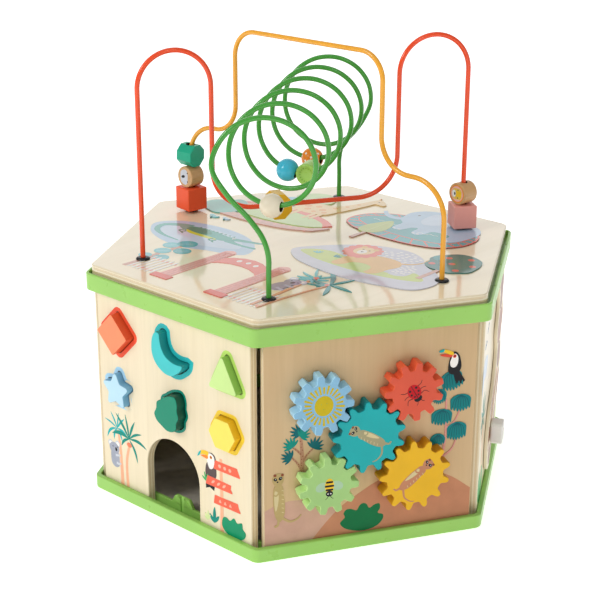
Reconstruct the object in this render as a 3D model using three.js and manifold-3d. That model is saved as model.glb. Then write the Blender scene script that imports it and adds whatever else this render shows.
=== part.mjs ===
// Hexagonal wooden activity centre for a toddler: shape sorter, gear wall,
// sliding and spinning side panels, and three bead wires on the top board.
// Millimetres, +Z up, origin at the centre of the base, sorter panel facing -Y.
import * as THREE from 'three';
import { mergeVertices } from 'three/addons/utils/BufferGeometryUtils.js';
import Module from 'manifold-3d';

const wasm = await Module();
wasm.setup();

// ---------------------------------------------------------------- dimensions
const GAP = 0.3;                 // assembly gap between neighbouring pieces

const BASE_APOTHEM = 174.8;      // outer face of the base frame
const BASE_H = 12.4;               // height of its outer wall
const TOPF_APOTHEM = 175;        // outer face of the top frame
const TOPF_Z0 = 191, TOPF_Z1 = 206.5;
const FRAME_CORNER_R = 9;        // rounding of the frame corners

const PANEL_A = 170;             // outer face of each side panel
const PANEL_T = 8;
const PANEL_HALF_W = 92;
const PANEL_Z0 = 3.1, PANEL_Z1 = 197.9;

const BOARD_APOTHEM = 170.6, BOARD_CORNER_R = 10;
const BOARD_Z0 = 201.4, BOARD_Z1 = 213.4;
const FLOOR_APOTHEM = 157.9, FLOOR_Z0 = 3.1, FLOOR_Z1 = 6.1;

const POST_R = 150.5;            // circle of the wire posts on the top board
const WIRE_R = 2.2;
const WIRE_END_Z = 195.5;
const GROMMET_TOP = 215.8;

const RED_LEG_FRONT = -87, RED_LEG_REAR = 84.5;  // inner legs of the two arches of the red wire
const RED_ARCH_Z = 362.2, RED_LOW_Z = 252, RED_BEND_R = 37;
const YEL_STEP_R = 32, YEL_STEP_Z = 267.5, YEL_TOP_Z = 395, YEL_TOP_R = 24;
const YEL_LEG_LEFT = -89, YEL_LEG_RIGHT = 82.5;
const COIL_R = 39.3, COIL_PITCH = 52.03, COIL_Z = 319.8, COIL_OFF = -6.8, COIL_S0 = 149.6;

const CUBE = 21.5, BEAD = 20.5;  // cube edge, disc diameter
const BEAD_BORE = 3.7, BALL_BORE = 4.6;
const PRISM_LEAN = 2.8;          // lean of the bead that has reached the foot of the yellow bend
const COIL_HANG = 0.45;          // how far a bead hangs below the wire's centre line

const BLOCK_T = 19;              // thickness of the sorter blocks
const HOLE_CLEAR = 0.9;

const GEAR_MODULE = 4.3, N_SMALL = 11, N_LARGE = 13;
const TIP_SMALL = 26.0, ROOT_SMALL = 19.3, TIP_LARGE = 31.8, ROOT_LARGE = 25.4;
const GEAR_Z0 = 0.8, GEAR_Z1 = 13;
const AXLE_R = 4.0, AXLE_HOLE_R = 4.35;
const MESH_SL = 51.8, MESH_LL = 58.0;    // centre distances
const TEAL_C = [-6.0, 104.9], TEAL_PHASE = 10.2;

// -------------------------------------------------------------------- colours
const mat = (color, roughness = 0.45, metalness = 0) =>
  new THREE.MeshStandardMaterial({ color, roughness, metalness });
const GREEN_PLASTIC = mat(0xa6d36c, 0.35);
const WOOD = mat(0xe6d6b0, 0.55);
const WOOD_BEAD = mat(0xd2a878, 0.5);

// ------------------------------------------------------------------- helpers
const root = new THREE.Group();
root.name = 'activity_centre';

const deg = (a) => (a * Math.PI) / 180;

function clean(geo) {
  const g = geo.clone();
  g.deleteAttribute('normal');
  if (g.attributes.uv) g.deleteAttribute('uv');
  return mergeVertices(g, 1e-4);
}
function solid(geo) {
  const g = clean(geo);
  return new wasm.Manifold(new wasm.Mesh({
    numProp: 3,
    vertProperties: new Float32Array(g.attributes.position.array),
    triVerts: new Uint32Array(g.index.array),
  }));
}
function geometry(m) {
  const mesh = m.getMesh();
  const g = new THREE.BufferGeometry();
  g.setAttribute('position', new THREE.BufferAttribute(new Float32Array(mesh.vertProperties), 3));
  g.setIndex(new THREE.BufferAttribute(new Uint32Array(mesh.triVerts), 1));
  return g;
}
function cut(a, ...bs) {
  let m = solid(a);
  for (const b of bs) m = m.subtract(solid(b));
  return geometry(m);
}
function join(a, ...bs) {
  let m = solid(a);
  for (const b of bs) m = m.add(solid(b));
  return geometry(m);
}
function add(parent, name, geo, material) {
  const g = clean(geo);
  g.computeVertexNormals();
  const mesh = new THREE.Mesh(g, material);
  mesh.name = name;
  parent.add(mesh);
  return mesh;
}
function shapeOf(pts, holes = []) {
  const s = new THREE.Shape(pts.map(([x, y]) => new THREE.Vector2(x, y)));
  for (const h of holes) s.holes.push(new THREE.Path(h.map(([x, y]) => new THREE.Vector2(x, y))));
  return s;
}
function slab(pts, z0, z1, holes = []) {
  const g = new THREE.ExtrudeGeometry(shapeOf(pts, holes), { depth: z1 - z0, bevelEnabled: false });
  g.translate(0, 0, z0);
  return g;
}
function circle(cx, cy, r, n = 16, a0 = 0) {
  return Array.from({ length: n }, (_, i) => [cx + r * Math.cos(a0 + (2 * Math.PI * i) / n), cy + r * Math.sin(a0 + (2 * Math.PI * i) / n)]);
}
function hexagon(apothem, r, seg = 3) {
  const pts = [];
  const d = (apothem - r) / Math.cos(deg(30));
  for (let k = 0; k < 6; k++) {
    const c = k * 60;
    for (let i = 0; i <= seg; i++) {
      const a = deg(c - 30 + (60 * i) / seg);
      pts.push([d * Math.cos(deg(c)) + r * Math.cos(a), d * Math.sin(deg(c)) + r * Math.sin(a)]);
    }
  }
  return pts;
}
// closed frame: a cross-section of [apothem, z] swept round the hexagon
function hexFrame(section, seg = 2) {
  const n = 6 * (seg + 1), pos = [], idx = [];
  for (const [a, z] of section) {
    const r = Math.max(1.5, FRAME_CORNER_R - (TOPF_APOTHEM - a));
    for (const [x, y] of hexagon(a, r, seg)) pos.push(x, y, z);
  }
  const m = section.length;
  for (let i = 0; i < m; i++) for (let j = 0; j < n; j++) {
    const a = i * n + j, b = i * n + ((j + 1) % n);
    const c = ((i + 1) % m) * n + j, d = ((i + 1) % m) * n + ((j + 1) % n);
    idx.push(a, b, d, a, d, c);
  }
  const g = new THREE.BufferGeometry();
  g.setAttribute('position', new THREE.Float32BufferAttribute(pos, 3));
  g.setIndex(idx);
  return g;
}
// round the corners of a polygon (counter-clockwise or clockwise)
function rounded(pts, r, seg = 3) {
  const out = [], n = pts.length;
  for (let i = 0; i < n; i++) {
    const p = new THREE.Vector2(...pts[(i + n - 1) % n]), c = new THREE.Vector2(...pts[i]), q = new THREE.Vector2(...pts[(i + 1) % n]);
    const u = p.clone().sub(c).normalize(), v = q.clone().sub(c).normalize();
    const half = Math.acos(THREE.MathUtils.clamp(u.dot(v), -1, 1)) / 2;
    let t = r / Math.tan(half);
    t = Math.min(t, 0.45 * p.distanceTo(c), 0.45 * q.distanceTo(c));
    const rr = t * Math.tan(half);
    const ctr = c.clone().add(u.clone().add(v).normalize().multiplyScalar(rr / Math.sin(half)));
    const a = c.clone().add(u.multiplyScalar(t)), b = c.clone().add(v.multiplyScalar(t));
    const a0 = Math.atan2(a.y - ctr.y, a.x - ctr.x);
    let da = Math.atan2(b.y - ctr.y, b.x - ctr.x) - a0;
    while (da > Math.PI) da -= 2 * Math.PI;
    while (da < -Math.PI) da += 2 * Math.PI;
    for (let k = 0; k <= seg; k++) out.push([ctr.x + rr * Math.cos(a0 + (da * k) / seg), ctr.y + rr * Math.sin(a0 + (da * k) / seg)]);
  }
  return out;
}
function area(pts) {
  let s = 0;
  for (let i = 0; i < pts.length; i++) { const [x, y] = pts[i], [u, v] = pts[(i + 1) % pts.length]; s += x * v - u * y; }
  return s / 2;
}
// move every vertex outwards along its mean edge normal
function grow(pts, d) {
  const n = pts.length, sgn = area(pts) > 0 ? 1 : -1;
  return pts.map((c, i) => {
    const p = pts[(i + n - 1) % n], q = pts[(i + 1) % n];
    const e1 = new THREE.Vector2(c[0] - p[0], c[1] - p[1]).normalize(), e2 = new THREE.Vector2(q[0] - c[0], q[1] - c[1]).normalize();
    const n1 = new THREE.Vector2(e1.y, -e1.x).multiplyScalar(sgn), n2 = new THREE.Vector2(e2.y, -e2.x).multiplyScalar(sgn);
    const m = n1.clone().add(n2).normalize();
    const k = d / Math.max(0.5, m.dot(n1));
    return [c[0] + m.x * k, c[1] + m.y * k];
  });
}
// smooth closed curve through points
function smooth(pts, n) {
  const c = new THREE.CatmullRomCurve3(pts.map(([x, y]) => new THREE.Vector3(x, y, 0)), true, 'centripetal');
  return c.getSpacedPoints(n).slice(0, n).map((p) => [p.x, p.y]);
}
// solid of revolution about local Z; profile of [r, z], on the axis at both ends or closed on itself
function turned(profile, seg = 16, closed = false) {
  const pts = profile.map(([r, z]) => new THREE.Vector2(r, z));
  if (closed) pts.push(pts[0].clone());
  const g = new THREE.LatheGeometry(pts, seg);
  g.rotateX(Math.PI / 2);
  return g;
}
// rod of constant radius along a chain of stations
class Stations extends THREE.Curve {
  constructor(points) {
    super();
    this.p = points;
    this.t = points.map((_, i) => {
      const a = points[Math.max(0, i - 1)], b = points[Math.min(points.length - 1, i + 1)];
      const c = points[i];
      const u = c.clone().sub(a), v = b.clone().sub(c);
      if (u.lengthSq() > 0) u.normalize();
      if (v.lengthSq() > 0) v.normalize();
      return u.add(v).normalize();
    });
  }
  getPoint(t, target = new THREE.Vector3()) { return target.copy(this.p[Math.round(t * (this.p.length - 1))]); }
  getPointAt(u, target) { return this.getPoint(u, target); }
  getTangent(t, target = new THREE.Vector3()) { return target.copy(this.t[Math.round(t * (this.p.length - 1))]); }
  getTangentAt(u, target) { return this.getTangent(u, target); }
}
function rod(points, r, sides = 6) {
  const section = shapeOf(circle(0, 0, r, sides, Math.PI / sides));
  return new THREE.ExtrudeGeometry(section, { steps: points.length - 1, bevelEnabled: false, extrudePath: new Stations(points) });
}

// a side frame: x along the panel, y up, z outwards from the panel's outer face
function sideFrame(angle) {
  const n = new THREE.Vector3(Math.cos(deg(angle)), Math.sin(deg(angle)), 0);
  const t = new THREE.Vector3(-Math.sin(deg(angle)), Math.cos(deg(angle)), 0);
  const g = new THREE.Group();
  g.matrixAutoUpdate = false;
  g.matrix.makeBasis(t, new THREE.Vector3(0, 0, 1), n).setPosition(n.multiplyScalar(PANEL_A));
  root.add(g);
  return g;
}

// ------------------------------------------------------------ base and floor
{
  const section = [
    [150, 0], [BASE_APOTHEM, 0], [BASE_APOTHEM, BASE_H], [170.4, BASE_H], [170.4, 2.8],
    [161.6, 2.8], [161.6, 12], [158.5, 12], [158.5, 2.8], [150, 2.8],
  ];
  let m = solid(hexFrame(section));
  for (let k = 0; k < 6; k++) {
    const a = -90 + 60 * k;
    const tab = slab([[-13.5, 10], [13.5, 10], [13.2, 12.2], [9.6, 18.4], [8.2, 19.8], [-8.2, 19.8], [-9.6, 18.4], [-13.2, 12.2]], 158.5, 161.6);
    const groove = slab([[-2.4, 3.4], [2.4, 3.4], [2.4, 22], [-2.4, 22]], 160.4, 163);
    const M = new THREE.Matrix4().makeBasis(
      new THREE.Vector3(-Math.sin(deg(a)), Math.cos(deg(a)), 0), new THREE.Vector3(0, 0, 1),
      new THREE.Vector3(Math.cos(deg(a)), Math.sin(deg(a)), 0));
    m = m.add(solid(tab.applyMatrix4(M))).subtract(solid(groove.applyMatrix4(M)));
  }
  add(root, 'base_frame', geometry(m), GREEN_PLASTIC);
  add(root, 'floor_board', slab(hexagon(FLOOR_APOTHEM, 6, 2), FLOOR_Z0, FLOOR_Z1), mat(0xdcdad6, 0.7));
}

// ------------------------------------------------------------ top frame, board
{
  const section = [
    [158, 192], [161.6, 192], [161.6, 198.2], [170.4, 198.2], [170.4, TOPF_Z0], [TOPF_APOTHEM, TOPF_Z0],
    [TOPF_APOTHEM, TOPF_Z1], [172.6, TOPF_Z1], [172.6, 201.1], [158, 201.1],
  ];
  let m = solid(hexFrame(section));
  for (let k = 0; k < 6; k++) for (const s of [-57, 0, 57]) {
    const a = deg(-90 + 60 * k);
    const notch = new THREE.CylinderGeometry(1.8, 1.8, 3.4, 8);
    notch.rotateX(Math.PI / 2);
    notch.translate(172.5 * Math.cos(a) - s * Math.sin(a), 172.5 * Math.sin(a) + s * Math.cos(a), 205.6);
    m = m.subtract(solid(notch));
  }
  add(root, 'top_frame', geometry(m), GREEN_PLASTIC);
  const holes = [0, 60, 120, 180, 240, 300].map((a) => circle(POST_R * Math.cos(deg(a)), POST_R * Math.sin(deg(a)), 4.2, 10));
  add(root, 'top_board', slab(hexagon(BOARD_APOTHEM, BOARD_CORNER_R, 4), BOARD_Z0, BOARD_Z1, holes), WOOD);
}

// --------------------------------------------------------- wires and grommets
const LINE = (a) => new THREE.Vector3(Math.cos(deg(a)), Math.sin(deg(a)), 0);
const at = (dir, s, z, side = null, e = 0) => dir.clone().multiplyScalar(s).add(side ? side.clone().multiplyScalar(e) : new THREE.Vector3()).setZ(z);
function arc(cs, cz, r, a0, a1, n) {   // stations [s, z] on a bend, without its first point
  return Array.from({ length: n }, (_, i) => { const a = deg(a0 + ((a1 - a0) * (i + 1)) / n); return [cs + r * Math.cos(a), cz + r * Math.sin(a)]; });
}
{
  const P = POST_R, B = RED_BEND_R, F = (P + RED_LEG_FRONT) / 2, R = (P - RED_LEG_REAR) / 2;
  const line = [[-P, WIRE_END_Z], [-P, RED_ARCH_Z], ...arc(-P + F, RED_ARCH_Z, F, 180, 0, 10),
    [RED_LEG_FRONT, RED_LOW_Z + B], ...arc(RED_LEG_FRONT + B, RED_LOW_Z + B, B, 180, 270, 6),
    [RED_LEG_REAR - B, RED_LOW_Z], ...arc(RED_LEG_REAR - B, RED_LOW_Z + B, B, 270, 360, 6),
    [RED_LEG_REAR, RED_ARCH_Z], ...arc(P - R, RED_ARCH_Z, R, 180, 0, 10), [P, WIRE_END_Z]];
  add(root, 'wire_red', rod(line.map(([s, z]) => at(LINE(60), s, z)), WIRE_R), mat(0xe8481c, 0.25));
}
{
  const P = POST_R, R = YEL_STEP_R, Z = YEL_STEP_Z, T = YEL_TOP_R, L = YEL_LEG_LEFT, Q = YEL_LEG_RIGHT, ZR = Z - 2.5;
  const line = [[-P, WIRE_END_Z], [-P, Z], ...arc(-P + R, Z, R, 180, 90, 6), [L - 27, Z + R], ...arc(L - 27, Z + R + 27, 27, 270, 360, 6),
    [L, YEL_TOP_Z - T], ...arc(L + T, YEL_TOP_Z - T, T, 180, 90, 6), [Q - T, YEL_TOP_Z], ...arc(Q - T, YEL_TOP_Z - T, T, 90, 0, 6),
    [Q, ZR + R + 29], ...arc(Q + 29, ZR + R + 29, 29, 180, 270, 6), [P - R, ZR + R], ...arc(P - R, ZR, R, 90, 0, 6), [P, WIRE_END_Z]];
  add(root, 'wire_yellow', rod(line.map(([s, z]) => at(LINE(0), s, z)), WIRE_R), mat(0xe7a21e, 0.25));
}
const COIL_D = LINE(-60), COIL_E = LINE(30);
const coilPoint = (turn) => {
  const phi = Math.PI - 2 * Math.PI * turn;
  return at(COIL_D, COIL_S0 - COIL_PITCH * turn, COIL_Z + COIL_R * Math.sin(phi), COIL_E, COIL_OFF + COIL_R * Math.cos(phi));
};
{
  const q = (s, e, z) => at(COIL_D, s, z, COIL_E, e);
  const ctrl = [q(POST_R, 0, 236), q(POST_R, -0.2, 250), q(150.5, -4.6, 264.5), q(150.6, -16.2, 280.5), q(150.8, -33, 298)];
  for (let t = 0; t <= 5.601; t += 0.08) ctrl.push(coilPoint(t));
  ctrl.push(q(-144.5, 15.5, 282.5), q(-148.2, 3.6, 268.5), q(-150.3, 0, 254), q(-POST_R, 0, 238));
  const c = new THREE.CatmullRomCurve3(ctrl, false, 'centripetal');
  c.arcLengthDivisions = 3000;
  const pts = [q(POST_R, 0, WIRE_END_Z), ...c.getSpacedPoints(118), q(-POST_R, 0, WIRE_END_Z)];
  add(root, 'wire_green', rod(pts, WIRE_R), mat(0x3f9a33, 0.25));
}
[['grommet_green_front', -60], ['grommet_yellow_right', 0], ['grommet_red_rear', 60],
  ['grommet_green_rear', 120], ['grommet_yellow_left', 180], ['grommet_red_front', -120]].forEach(([name, a]) => {
  const g = turned([[2.6, 198.6], [5.6, 198.6], [5.6, 201.1], [3.9, 201.1], [3.9, 213.7], [6.2, 213.7], [5.6, 214.9], [4.2, 215.6], [2.6, GROMMET_TOP]], 8, true);
  const mesh = add(root, name, g, mat(0x17181a, 0.4));
  mesh.position.copy(at(LINE(a), POST_R, 0));
});

// -------------------------------------------------------------------- beads
function bore(len, r = BEAD_BORE, seg = 10) { const g = new THREE.CylinderGeometry(r, r, len, seg); g.rotateX(Math.PI / 2); return g; }
function cubeBead(r = 1.2) {
  const h = CUBE / 2, p = rounded([[-h, -h], [h, -h], [h, h], [-h, h]], r, 1);
  return cut(slab(p, -h, h), bore(2 * CUBE));
}
// short cylinder with its axis along local Y and the bore along local Z
function discBead(len, d = BEAD) {
  const c = new THREE.CylinderGeometry(d / 2, d / 2, len, 16);
  c.rotateY(Math.PI / 16);
  return cut(c, bore(2 * d));
}
// octagonal prism with its axis along local X and the bore along local Z
function prismBead(len, across, r) {
  const c = new THREE.CylinderGeometry(across / 2 / Math.cos(Math.PI / 8), across / 2 / Math.cos(Math.PI / 8), len, 8);
  c.rotateY(Math.PI / 8);
  c.rotateZ(Math.PI / 2);
  return cut(c, bore(2 * across, r));
}
function ballBead(r, hole = BALL_BORE) {
  const z = Math.sqrt(r * r - hole * hole), a0 = Math.asin(z / r), p = [];
  for (let i = 0; i <= 6; i++) { const a = -a0 + (2 * a0 * i) / 6; p.push([r * Math.cos(a), r * Math.sin(a)]); }
  return turned(p, 12, true);
}
function place(mesh, pos, axisZ, axisX) {
  const z = axisZ.clone().normalize(), x = axisX.clone().sub(z.clone().multiplyScalar(axisX.dot(z))).normalize();
  mesh.matrixAutoUpdate = false;
  mesh.matrix.makeBasis(x, z.clone().cross(x), z).setPosition(pos);
}
const UP = new THREE.Vector3(0, 0, 1);
const az = (a) => new THREE.Vector3(Math.sin(deg(a)), -Math.cos(deg(a)), 0);   // heading from -Y towards +X

// stack on the left end of the yellow wire: cube, wooden disc, prism on the foot of the bend
const CUBE_Z = GROMMET_TOP + GAP + CUBE / 2, DISC_Z = CUBE_Z + CUBE / 2 + GAP + BEAD / 2;
const yellowPost = at(LINE(180), POST_R, 0);
place(add(root, 'bead_cube_orange', cubeBead(), mat(0xe8542f, 0.5)), yellowPost.clone().setZ(CUBE_Z), UP, az(81.4));
place(add(root, 'bead_disc_grey_face', discBead(15.6), WOOD_BEAD), yellowPost.clone().setZ(DISC_Z), UP, az(88.5));
{
  const th = deg(PRISM_LEAN), c = new THREE.Vector3(-POST_R + YEL_STEP_R, 0, YEL_STEP_Z);
  const pos = c.clone().add(new THREE.Vector3(-YEL_STEP_R * Math.cos(th), 0, YEL_STEP_R * Math.sin(th)));
  place(add(root, 'bead_prism_teal', prismBead(17.8, BEAD, 4.6), mat(0x17a07c, 0.4)), pos, new THREE.Vector3(Math.sin(th), 0, Math.cos(th)), az(96));
}
// stack on the rear end of the red wire
const redPost = at(LINE(60), POST_R, 0);
place(add(root, 'bead_cube_pink', cubeBead(), mat(0xe79a90, 0.5)), redPost.clone().setZ(CUBE_Z), UP, az(53.9));
place(add(root, 'bead_disc_tan_face', discBead(16.4), WOOD_BEAD), redPost.clone().setZ(DISC_Z), UP, az(83.5));
// faceted bead on the low stretch of the red wire
place(add(root, 'bead_prism_yellow', prismBead(18, 22.6, 3.7), mat(0xe3ac12, 0.4)), at(LINE(60), -28.6, RED_LOW_Z), LINE(60), LINE(-30));
// beads resting in the bottoms of the coil
function onCoil(name, geo, turn, material) {
  const phi = Math.PI - 2 * Math.PI * turn, c = COIL_PITCH / (2 * Math.PI);
  const T = COIL_D.clone().multiplyScalar(-c).add(COIL_E.clone().multiplyScalar(COIL_R * Math.sin(phi))).add(UP.clone().multiplyScalar(-COIL_R * Math.cos(phi))).normalize();
  const N = COIL_E.clone().multiplyScalar(-Math.cos(phi)).add(UP.clone().multiplyScalar(-Math.sin(phi)));
  place(add(root, name, geo, material), coilPoint(turn).add(N.multiplyScalar(-COIL_HANG)), T, COIL_D);
}
onCoil('bead_ball_cream', ballBead(10.1), 0.75, mat(0xe9dcc0, 0.5));
onCoil('bead_ball_blue', ballBead(10.1), 2.7935, mat(0x3fbcd6, 0.25));
{
  const c = turned([[0, -7.2], [6.2, -7.2], [7.4, -8.4], [9.2, -8.4], [10.1, -7.2], [10.1, 7.2], [9.2, 8.4], [7.4, 8.4], [6.2, 7.2], [0, 7.2]], 14);
  c.rotateY(Math.PI / 2);      // wheel axis along local X
  onCoil('bead_wheel_lime', cut(c, bore(30, 4.9)), 2.7095, mat(0x9ccc5a, 0.3));
}
onCoil('bead_ball_orange', ballBead(10.1), 3.745, mat(0xf08a1c, 0.3));

// ------------------------------------------------------ side A: shape sorter
const star = (() => {
  const p = [];
  for (let i = 0; i < 10; i++) { const a = deg(90 + 36 * i), r = i % 2 ? 9.7 : 18.9; p.push([-66 + r * Math.cos(a), 105.7 + r * Math.sin(a)]); }
  return rounded(p, 2.2, 2);
})();
// outline, colour, and how far the block stands proud of the panel
const BLOCKS = {
  block_square_orange: [rounded([[-84.2, 159], [-65, 139.8], [-45.8, 159], [-65, 178.2]], 1.8, 2), 0xff8a5c, 8.5],
  block_crescent_teal: [smooth([[-9.4, 176.8], [-13.4, 172.5], [-15.2, 164], [-14.8, 156.4], [-11.6, 149.8], [-6, 144.8], [1.5, 141.6], [8.8, 141.8], [15, 145.4],
    [20.4, 150.2], [21.6, 154.2], [16, 154], [9, 154.6], [1.6, 158], [-3, 164.4], [-4.8, 171.5], [-5.4, 176]], 30), 0x54cfcb, 8],
  block_triangle_lime: [rounded([[50.6, 145.2], [84.2, 145.2], [66.9, 177]], 2.2, 2), 0xc4e48e, 7],
  block_star_blue: [star, 0xb6dcec, 6.2],
  block_bush_green: [smooth([[5, 123], [12.2, 123.6], [14.9, 118], [14.5, 111.5], [16.1, 105.5], [13.3, 100], [12.9, 94.5], [8.3, 90.8], [1.7, 89.8],
    [-5.3, 92.8], [-11.3, 96.4], [-13.9, 102], [-11.3, 107.4], [-10.3, 113.6], [-5.9, 116.6], [-1.9, 119.6]], 28), 0x0aa184, 8.5],
  block_hexagon_yellow: [circle(65.5, 106.1, 15.4, 6), 0xf1df5c, 7],
};
const sideA = sideFrame(-90);
{
  const w = PANEL_HALF_W, cx = -1.5, hw = 32.5, zs = 44.5;
  const outline = [[-w, PANEL_Z0], [cx - hw, PANEL_Z0], ...Array.from({ length: 15 }, (_, i) => { const a = deg(180 - (180 * i) / 14); return [cx + hw * Math.cos(a), zs + hw * Math.sin(a)]; }),
    [cx + hw, PANEL_Z0], [w, PANEL_Z0], [w, PANEL_Z1], [-w, PANEL_Z1]];
  const holes = Object.values(BLOCKS).map(([p]) => grow(p, HOLE_CLEAR));
  add(sideA, 'panel_sorter', slab(outline, -PANEL_T, 0, holes), WOOD);
  for (const [name, [p, colour, out]] of Object.entries(BLOCKS)) add(sideA, name, slab(p, out - BLOCK_T, out), mat(colour, 0.45));
}

const plate = [[-PANEL_HALF_W, PANEL_Z0], [PANEL_HALF_W, PANEL_Z0], [PANEL_HALF_W, PANEL_Z1], [-PANEL_HALF_W, PANEL_Z1]];

// --------------------------------------------------------- side B: gear wall
// involute-style tooth flanks, flat tips, tooth k centred on phase + k * pitch
function gearOutline([cx, cy], teeth, tip, rootR, phase, slack) {
  const rp = (GEAR_MODULE * teeth) / 2, rb = rp * Math.cos(deg(18));
  const inv = (r) => { const x = Math.acos(Math.min(1, rb / r)); return Math.tan(x) - x; };
  const half = Math.PI / (2 * teeth) - slack / (2 * rp) + inv(rp);
  const radii = [rootR, Math.max(rb, rootR + 0.8) + 0.2, (rp + tip) / 2, tip - 0.9, tip];
  const pts = [];
  for (let k = 0; k < teeth; k++) {
    const c = deg(phase) + (2 * Math.PI * k) / teeth;
    const w = radii.map((r, i) => {
      if (i === 0) return half + 0.035;
      if (i === 4) return half - inv(r) - 0.3 / r;
      return half - inv(Math.max(r, rb));
    });
    for (let i = 0; i < 5; i++) pts.push([radii[i], c - w[i]]);
    for (let i = 4; i >= 0; i--) pts.push([radii[i], c + w[i]]);
  }
  return pts.map(([r, a]) => [cx + r * Math.cos(a), cy + r * Math.sin(a)]);
}
const meshed = (dx, dy, dist) => { const l = Math.hypot(dx, dy); return [TEAL_C[0] + (dx * dist) / l, TEAL_C[1] + (dy * dist) / l]; };
function meshPhase(c, teeth) {
  const beta = (Math.atan2(c[1] - TEAL_C[1], c[0] - TEAL_C[0]) * 180) / Math.PI;
  const f = (beta - TEAL_PHASE) / (360 / N_LARGE);
  return beta + 180 + (f - 0.5) * (360 / teeth);
}
const C_BLUE = meshed(-39.2, 33.3, MESH_SL), C_RED = meshed(39.2, 36, MESH_SL);
const C_LIME = meshed(-34.8, -39.7, MESH_SL), C_YEL = meshed(42.2, -41.8, MESH_LL);
const GEARS = {
  teal: [TEAL_C, N_LARGE, TIP_LARGE, ROOT_LARGE, TEAL_PHASE, 0x0f9c9c],
  blue: [C_BLUE, N_SMALL, TIP_SMALL, ROOT_SMALL, meshPhase(C_BLUE, N_SMALL), 0x7fb2cc],
  red: [C_RED, N_SMALL, TIP_SMALL, ROOT_SMALL, meshPhase(C_RED, N_SMALL), 0xcf4d33],
  lime: [C_LIME, N_SMALL, TIP_SMALL, ROOT_SMALL, meshPhase(C_LIME, N_SMALL), 0x9bc073],
  yellow: [C_YEL, N_LARGE, TIP_LARGE, ROOT_LARGE, meshPhase(C_YEL, N_LARGE), 0xd2a71a],
};
const sideB = sideFrame(-30);
{
  const holes = Object.values(GEARS).map(([c]) => circle(c[0], c[1], AXLE_HOLE_R, 10));
  add(sideB, 'panel_gears', slab(plate, -PANEL_T, 0, holes), WOOD);
  for (const [name, [c, n, tip, rt, ph, colour]] of Object.entries(GEARS)) {
    const disc = slab(gearOutline(c, n, tip, rt, ph, 0.5), GEAR_Z0, GEAR_Z1);
    add(sideB, `gear_${name}`, cut(disc, slab(circle(c[0], c[1], AXLE_HOLE_R, 10), GEAR_Z0 - 1, 9.8)), mat(colour, 0.4));
    const pin = turned([[0, -11.4], [8, -11.4], [8, -8.3], [AXLE_R, -8.3], [AXLE_R, 9.5], [0, 9.5]], 10);
    pin.translate(c[0], c[1], 0);
    add(sideB, `axle_${name}`, pin, mat(0xd9c7a0, 0.6));
  }
}

// ----------------------------------- side C: raised track board with a slider
const TRACK0 = [-20, 55], TRACK1 = [20, 93], SLOT_HALF = 4.4, STEM_R = 3.7;
function slot([x0, y0], [x1, y1], h, n = 6) {
  const a = Math.atan2(y1 - y0, x1 - x0), pts = [];
  for (let i = 0; i <= n; i++) { const b = a - Math.PI / 2 + (Math.PI * i) / n; pts.push([x1 + h * Math.cos(b), y1 + h * Math.sin(b)]); }
  for (let i = 0; i <= n; i++) { const b = a + Math.PI / 2 + (Math.PI * i) / n; pts.push([x0 + h * Math.cos(b), y0 + h * Math.sin(b)]); }
  return pts;
}
function retainer([cx, cy]) {
  return slab(circle(cx, cy, 9, 14), -11.2, -8.4, [circle(cx, cy, STEM_R + GAP, 10)]);
}
const sideC = sideFrame(30);
{
  const hole = slot(TRACK0, TRACK1, SLOT_HALF);
  add(sideC, 'panel_track', slab(plate, -PANEL_T, 0, [hole]), WOOD);
  const board = smooth([[-38, 26], [-45, 50], [-32, 76], [2, 96], [16, 118], [6, 140], [20, 160], [13, 180], [36, 189], [60, 180], [52, 160], [67, 141],
    [54, 120], [62, 98], [52, 74], [24, 50], [4, 30], [-16, 18]], 44);
  add(sideC, 'track_board', slab(board, GAP, 3.3, [hole]), mat(0xf1e6cf, 0.5));
  const knob = slab(rounded([[TRACK0[0] - 8, TRACK0[1] - 10], [TRACK0[0] + 8, TRACK0[1] - 10], [TRACK0[0] + 8, TRACK0[1] + 10], [TRACK0[0] - 8, TRACK0[1] + 10]], 3, 3), 3.9, 15);
  add(sideC, 'slider_knob_white', join(knob, slab(circle(...TRACK0, STEM_R, 10), -12.5, 6)), mat(0xe9e8e4, 0.4));
  add(sideC, 'slider_retainer_c', retainer(TRACK0), mat(0xd9c7a0, 0.6));
}

// ---------------------------------------------------- side D: spinning discs
const DISCS = { blue: [[29, 159.5], 29, 0xb9d6e6], green: [[29, 79], 29, 0x3f9a78], coral: [[-40, 119], 28, 0xee7a5c] };
const sideD = sideFrame(210);
{
  add(sideD, 'panel_discs', slab(plate, -PANEL_T, 0, Object.values(DISCS).map(([c]) => circle(...c, AXLE_HOLE_R, 10))), WOOD);
  for (const [name, [c, r, colour]] of Object.entries(DISCS)) {
    const d = turned([[AXLE_HOLE_R, 1], [r, 1], [r, 7.5], [r - 1, 8.5], [AXLE_HOLE_R, 8.5]], 20, true);
    d.translate(c[0], c[1], 0);
    add(sideD, `disc_${name}`, d, mat(colour, 0.4));
    const p = turned([[0, -10.5], [AXLE_R, -10.5], [AXLE_R, 8.9], [7.5, 8.9], [7.5, 10.4], [6, 11.6], [0, 11.6]], 10);
    p.translate(c[0], c[1], 0);
    add(sideD, `pivot_${name}`, p, mat(0xd9b98a, 0.55));
  }
}

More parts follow.
